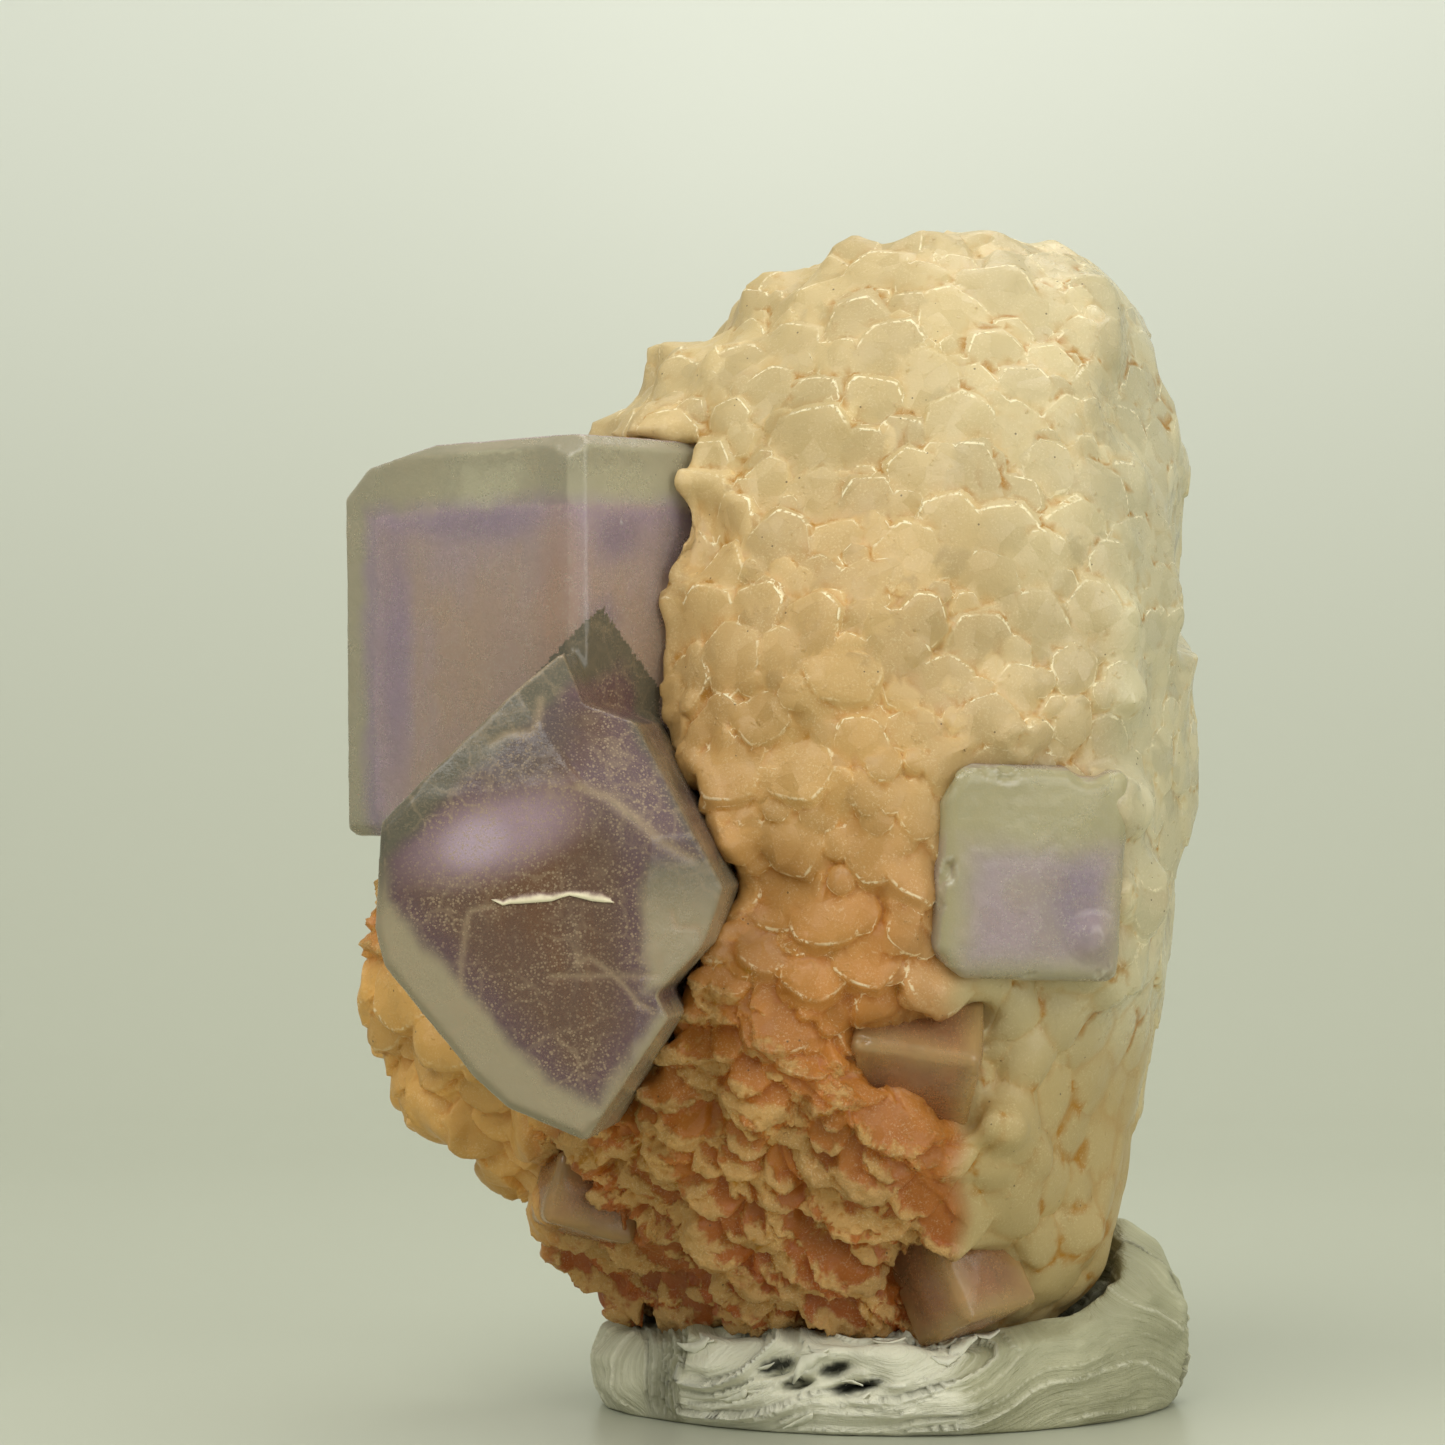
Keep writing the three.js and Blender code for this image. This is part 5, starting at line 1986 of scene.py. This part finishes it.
    def _tear(self, piece: bpy.types.Object, finish: bpy.types.Material) -> None:
        """Lay torn flakes along the strands of the front.

        Args:
            piece: The finished pad.
            finish: Material of the putty.
        """
        flakes = new_piece("putty_flakes", piece.data.copy())
        values = {
            "Density": 0.16 / MM**2,
            "Length": 2.2 * MM,
            "Seed": self.seed,
            "Slivers": self._slivers(),
            "Material": finish,
        }
        run_tree(flakes, self._tree(), values)
        shell = Shell(flakes)
        shell.points[:, 2] = np.maximum(shell.points[:, 2], 0.05)
        shell.write()
        shell.mark("torn", np.full(len(shell.points), 1.0))
        for name in ("hole", "groove"):
            shell.mark(name, np.zeros(len(shell.points)))
        dress(flakes, finish, Slot.PUTTY)


@dataclass
class Studio:
    """The floor, the backdrop, the lights and the camera."""

    axis: tuple[float, float] = (-3.77, 43.9)
    distance: float = 270.0
    plane: float = -2.16
    width: float = 90.31
    shaded_floor_tone: Colour = colour(173, 176, 158)
    lit_wall_tone: Colour = colour(228, 232, 222)

    def camera(self) -> None:
        """Set the camera at the photograph's view, level with the middle of the specimen."""
        data = bpy.data.cameras.new("camera")
        data.sensor_width = 36.0
        data.lens = data.sensor_width * self.distance / self.width
        data.clip_start = 0.01
        camera = bpy.data.objects.new("camera", data)
        camera.location = Vector((self.axis[0], self.plane - self.distance, self.axis[1])) * MM
        camera.rotation_euler = (math.radians(90), 0.0, 0.0)
        bpy.context.scene.collection.objects.link(camera)
        bpy.context.scene.camera = camera

    def sweep(self) -> None:
        """Make the floor, which curves up behind the specimen into the backdrop."""
        half, near, top = 900.0, -600.0, 1300.0
        flat, bend, steps = 160.0, 260.0, 16
        outline = [(near, 0.0), (flat, 0.0)]
        for step in range(1, steps + 1):
            angle = math.radians(90 * step / steps)
            outline.append((flat + bend * math.sin(angle), bend * (1.0 - math.cos(angle))))
        outline.append((flat + bend, top))
        form = bmesh.new()
        rows = [[form.verts.new((x * MM, y * MM, z * MM)) for x in (-half, half)] for y, z in outline]
        join_rows(form, rows, closed=False)
        mesh = bpy.data.meshes.new("studio sweep")
        form.to_mesh(mesh)
        form.free()
        mesh.shade_smooth()
        floor = new_piece("studio_sweep", mesh)
        wiring = Paint("pale sweep")
        level = wiring.add("ShaderNodeSeparateXYZ", {0: wiring.place}).outputs["Z"]
        # Painted light: the sweep darkens down to the floor and lightens up the backdrop, standing in for
        # how the light falls on them.
        tone = wiring.blend(wiring.span(level, -30.0, 210.0), self.shaded_floor_tone, self.lit_wall_tone)
        floor.data.materials.append(wiring.finish({"Base Color": tone, "Roughness": 0.32}))

    def lamp(self, name: str, place: Triple, size: float, power: float, tone: Colour) -> None:
        """Hang a square soft light that looks at the specimen.

        Args:
            name: Name of the light.
            place: Its place in millimetres.
            size: Its width in millimetres.
            power: Its power in watts.
            tone: Its colour.
        """
        data = bpy.data.lights.new(name, "AREA")
        data.size = size * MM
        data.energy = power
        data.color = tone[:3]
        light = bpy.data.objects.new(name, data)
        light.location = Vector(place) * MM
        aim = Vector((0.0, 0.0, 40.0)) * MM - light.location
        light.rotation_euler = aim.to_track_quat("-Z", "Y").to_euler()
        bpy.context.scene.collection.objects.link(light)

    def build(self) -> None:
        """Set up the whole studio."""
        self.camera()
        self.sweep()
        white = (1.0, 0.985, 0.95, 1.0)
        self.lamp("key", (-200.0, -280.0, 420.0), 360.0, 1.7, white)
        self.lamp("fill", (360.0, -360.0, 220.0), 420.0, 1.3, white)
        self.lamp("top", (60.0, 120.0, 430.0), 300.0, 0.7, white)
        world = bpy.data.worlds.new("soft room")
        world.use_nodes = True
        back = world.node_tree.nodes["Background"]
        back.inputs[0].default_value = (0.93, 0.95, 0.86, 1.0)
        back.inputs[1].default_value = 0.46
        bpy.context.scene.world = world
        bpy.context.scene.view_settings.view_transform = "Standard"


def fluorites() -> list[Fluorite]:
    """Return the five fluorite nodes with their crystals."""
    upper_zoning = Zoning(
        rim=colour(208, 202, 172),
        border=colour(186, 162, 184),
        zone=colour(194, 170, 166),
        heart=colour(198, 168, 142),
        core=colour(206, 180, 180),
        core_heart=colour(208, 178, 152),
        core_veil=colour(196, 168, 200),
        soft=0.9,
        clarity=0.6,
        tint=0.15,
        patches=(
            Patch((-24.2, -1.0, 48.4), (1.2, 9.0, 9.0), colour(164, 138, 172), 0.6),
            Patch((-18.3, -4.0, 56.2), (5.5, 9.0, 1.4), colour(164, 140, 166), 0.6),
            Patch((-13.6, -9.0, 50.0), (1.6, 6.0, 9.0), colour(196, 150, 112), 0.5),
            Patch((-10.5, -6.0, 55.2), (1.8, 6.0, 1.8), colour(142, 116, 158), 0.7),
            Patch((-11.2, -6.0, 50.4), (1.5, 6.0, 1.7), colour(150, 124, 160), 0.6),
        ),
    )
    rims = ((2.4, -3.0), (-3.0, 1.0), (-3.0, 3.9))
    upper = Cube((-13.58, 2.74, 49.0), (-1.0, -0.5, -42.0), (21.0, 20.0, 24.4), rims)
    front = Slab(
        (-14.18, -19.76, 33.7),
        -8.0,
        13.0,
        edges=(
            (-9.9, 4.3, 134.8, 1.9),
            (-10.2, 0.0, 180.0, 0.9),
            (-9.7, -4.1, 221.8, 2.9),
            (-2.3, -12.4, 248.0, 2.4),
            (3.4, -12.8, 326.3, 0.6),
            (4.8, 10.2, 30.3, 0.1),
        ),
        corner=((5.9, 0.0, 0.0), (0.0, 2.2, 270.0), (0.0, -5.4, 90.0)),
    )
    dark = Zoning(
        rim=colour(200, 186, 152),
        shade=colour(122, 118, 100),
        dusk=(31.5, 37.0),
        border=colour(114, 84, 90),
        zone=colour(118, 86, 68),
        heart=colour(128, 84, 50),
        frost=colour(208, 184, 148),
        core=colour(126, 92, 84),
        core_heart=colour(130, 88, 60),
        core_veil=colour(124, 92, 108),
        soft=0.6,
        clarity=0.5,
        tint=0.04,
        speckle=0.66,
        veins=0.3,
        patches=(
            # The first two patches are a painted highlight: a soft light mauve glow on the upper left of
            # the broad face.
            Patch((-17.0, -19.5, 37.4), (6.0, 5.0, 2.6), colour(206, 176, 192), 0.85, 20.0),
            Patch((-18.2, -19.5, 36.9), (2.2, 5.0, 1.5), colour(226, 202, 222), 0.8, 20.0),
            Patch((-15.5, -19.5, 43.2), (4.5, 5.0, 3.0), colour(104, 90, 88), 0.8, 35.0),
            Patch((-9.0, -19.0, 39.5), (3.0, 5.0, 4.5), colour(132, 108, 116), 0.7, 35.0),
        ),
    )
    lines = (
        Scar(((-3.02, -0.57), (-3.58, -0.63), (-4.41, -0.85), (-4.64, -1.41))),
        Scar(((-4.64, -1.41), (-4.75, -2.64), (-4.97, -4.09), (-4.92, -5.55)), width=0.2, share=0.5),
        Scar(((0.34, -4.65), (2.35, -4.6), (3.91, -4.56), (5.81, -4.54), (6.54, -4.51)), share=0.45),
        Scar(((3.13, -3.81), (3.91, -4.37), (4.81, -5.21), (5.48, -6.11), (6.15, -6.55))),
        Scar(((1.85, -3.2), (2.01, -3.87), (2.68, -3.48), (3.13, -3.87)), share=0.5),
        Scar(
            ((7.38, -4.99), (8.83, -3.76), (9.11, -2.75), (8.78, -1.75), (7.6, -1.75), (7.38, -0.85)),
            share=0.8,
        ),
        Scar(((2.05, 6.47), (3.84, 5.78), (5.22, 4.75), (7.15, 3.03), (8.53, 2.2)), width=0.3),
        Scar(((-0.57, 11.57), (-0.57, 10.47), (-0.84, 9.71), (-2.5, 9.51), (-3.33, 8.95)), 0.25, 0.5),
    )
    even, thin = ((1.0, 1.0),) * 3, ((0.8, 0.8),) * 3
    flush = ((1.8, 0.8), (1.0, 1.0), (1.0, 5.0))
    right = Cube((13.62, -9.86, 35.1), (3.0, 3.0, 17.0), (11.8, 9.0, 12.8), flush)
    centre = Cube((7.82, -9.76, 24.1), (44.0, 5.0, -6.0), (7.8, 6.8, 6.8), even)
    corner = Cube((10.62, -3.66, 10.2), (-14.0, -22.0, 36.0), (6.0, 5.6, 8.0), even)
    low_left = Cube((-12.08, -1.96, 14.2), (-10.0, 14.0, 14.0), (6.0, 5.4, 4.6), thin)
    nicks = ((8.4, 41.6, 2.8, 1.0), (8.6, 28.6, 2.2, 0.8), (18.2, 41.2, 1.6, 0.5), (18.4, 31.0, 1.8, -0.7))
    small = Zoning(
        rim=colour(204, 198, 156),
        border=colour(188, 166, 176),
        zone=colour(192, 174, 172),
        heart=colour(194, 176, 160),
        frost=colour(238, 234, 214),
        core=colour(210, 188, 196),
        core_heart=colour(212, 190, 190),
        core_veil=colour(200, 176, 208),
        soft=1.6,
        clarity=0.5,
        tint=0.1,
        patches=(
            Patch((17.6, -13.5, 33.2), (2.0, 4.0, 3.4), colour(158, 134, 164), 0.7),
            Patch((12.4, -13.5, 32.0), (3.4, 4.0, 2.0), colour(196, 170, 188), 0.6),
            Patch((14.8, -13.5, 38.2), (0.9, 4.0, 1.6), colour(150, 142, 104), 0.6),
        ),
    )
    pink = Zoning(
        rim=colour(220, 184, 124),
        border=colour(190, 140, 92),
        zone=colour(186, 132, 86),
        heart=colour(206, 150, 80),
        frost=colour(228, 198, 144),
        core=colour(200, 142, 82),
        core_heart=colour(208, 150, 80),
        core_veil=colour(176, 124, 106),
        soft=1.0,
        clarity=0.6,
        tint=0.05,
        speckle=0.28,
    )
    return [
        Fluorite("fluorite_pair", [upper, front], [upper_zoning, dark], 0.2, 31, scars=lines),
        Fluorite("fluorite_right", [right], [small], 0.18, 32, rounds=14, wear=0.5, bites=nicks),
        Fluorite("fluorite_centre", [centre], [pink], 0.15, 33, rounds=8, wear=0.8),
        Fluorite("fluorite_corner", [corner], [pink], 0.15, 34, rounds=3, wear=0.6),
        Fluorite("fluorite_low_left", [low_left], [pink], 0.15, 35, rounds=8, wear=0.6),
    ]


CRESCENT = (
    (-3.13, -0.17, -0.12),
    (-2.46, -0.5, -0.1),
    (-2.01, -0.4, 0.15),
    (-1.34, -0.38, 0.3),
    (-0.56, -0.32, 0.4),
    (0.45, -0.24, 0.42),
    (1.01, -0.03, 0.45),
    (1.51, 0.1, 0.48),
    (2.01, -0.01, 0.5),
    (2.8, -0.21, 0.48),
    (3.47, -0.28, 0.38),
    (3.91, -0.29, 0.1),
    (4.13, -0.29, -0.24),
)


def main() -> None:
    """Build the specimen and the studio, and note the size of each piece."""
    logging.basicConfig(level=logging.INFO, format="%(name)s: %(message)s")
    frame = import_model()
    Studio().build()
    log.info("studio ready")
    crystals = fluorites()
    sockets = Sockets(frame, [crystal.node for crystal in crystals])
    Druse().build(frame, sockets)
    for crystal in crystals:
        crystal.build(frame)
    Flake("front_flake", CRESCENT).build(crystals[0].habits[1])
    Putty().build(frame)


if __name__ == "__main__":
    main()
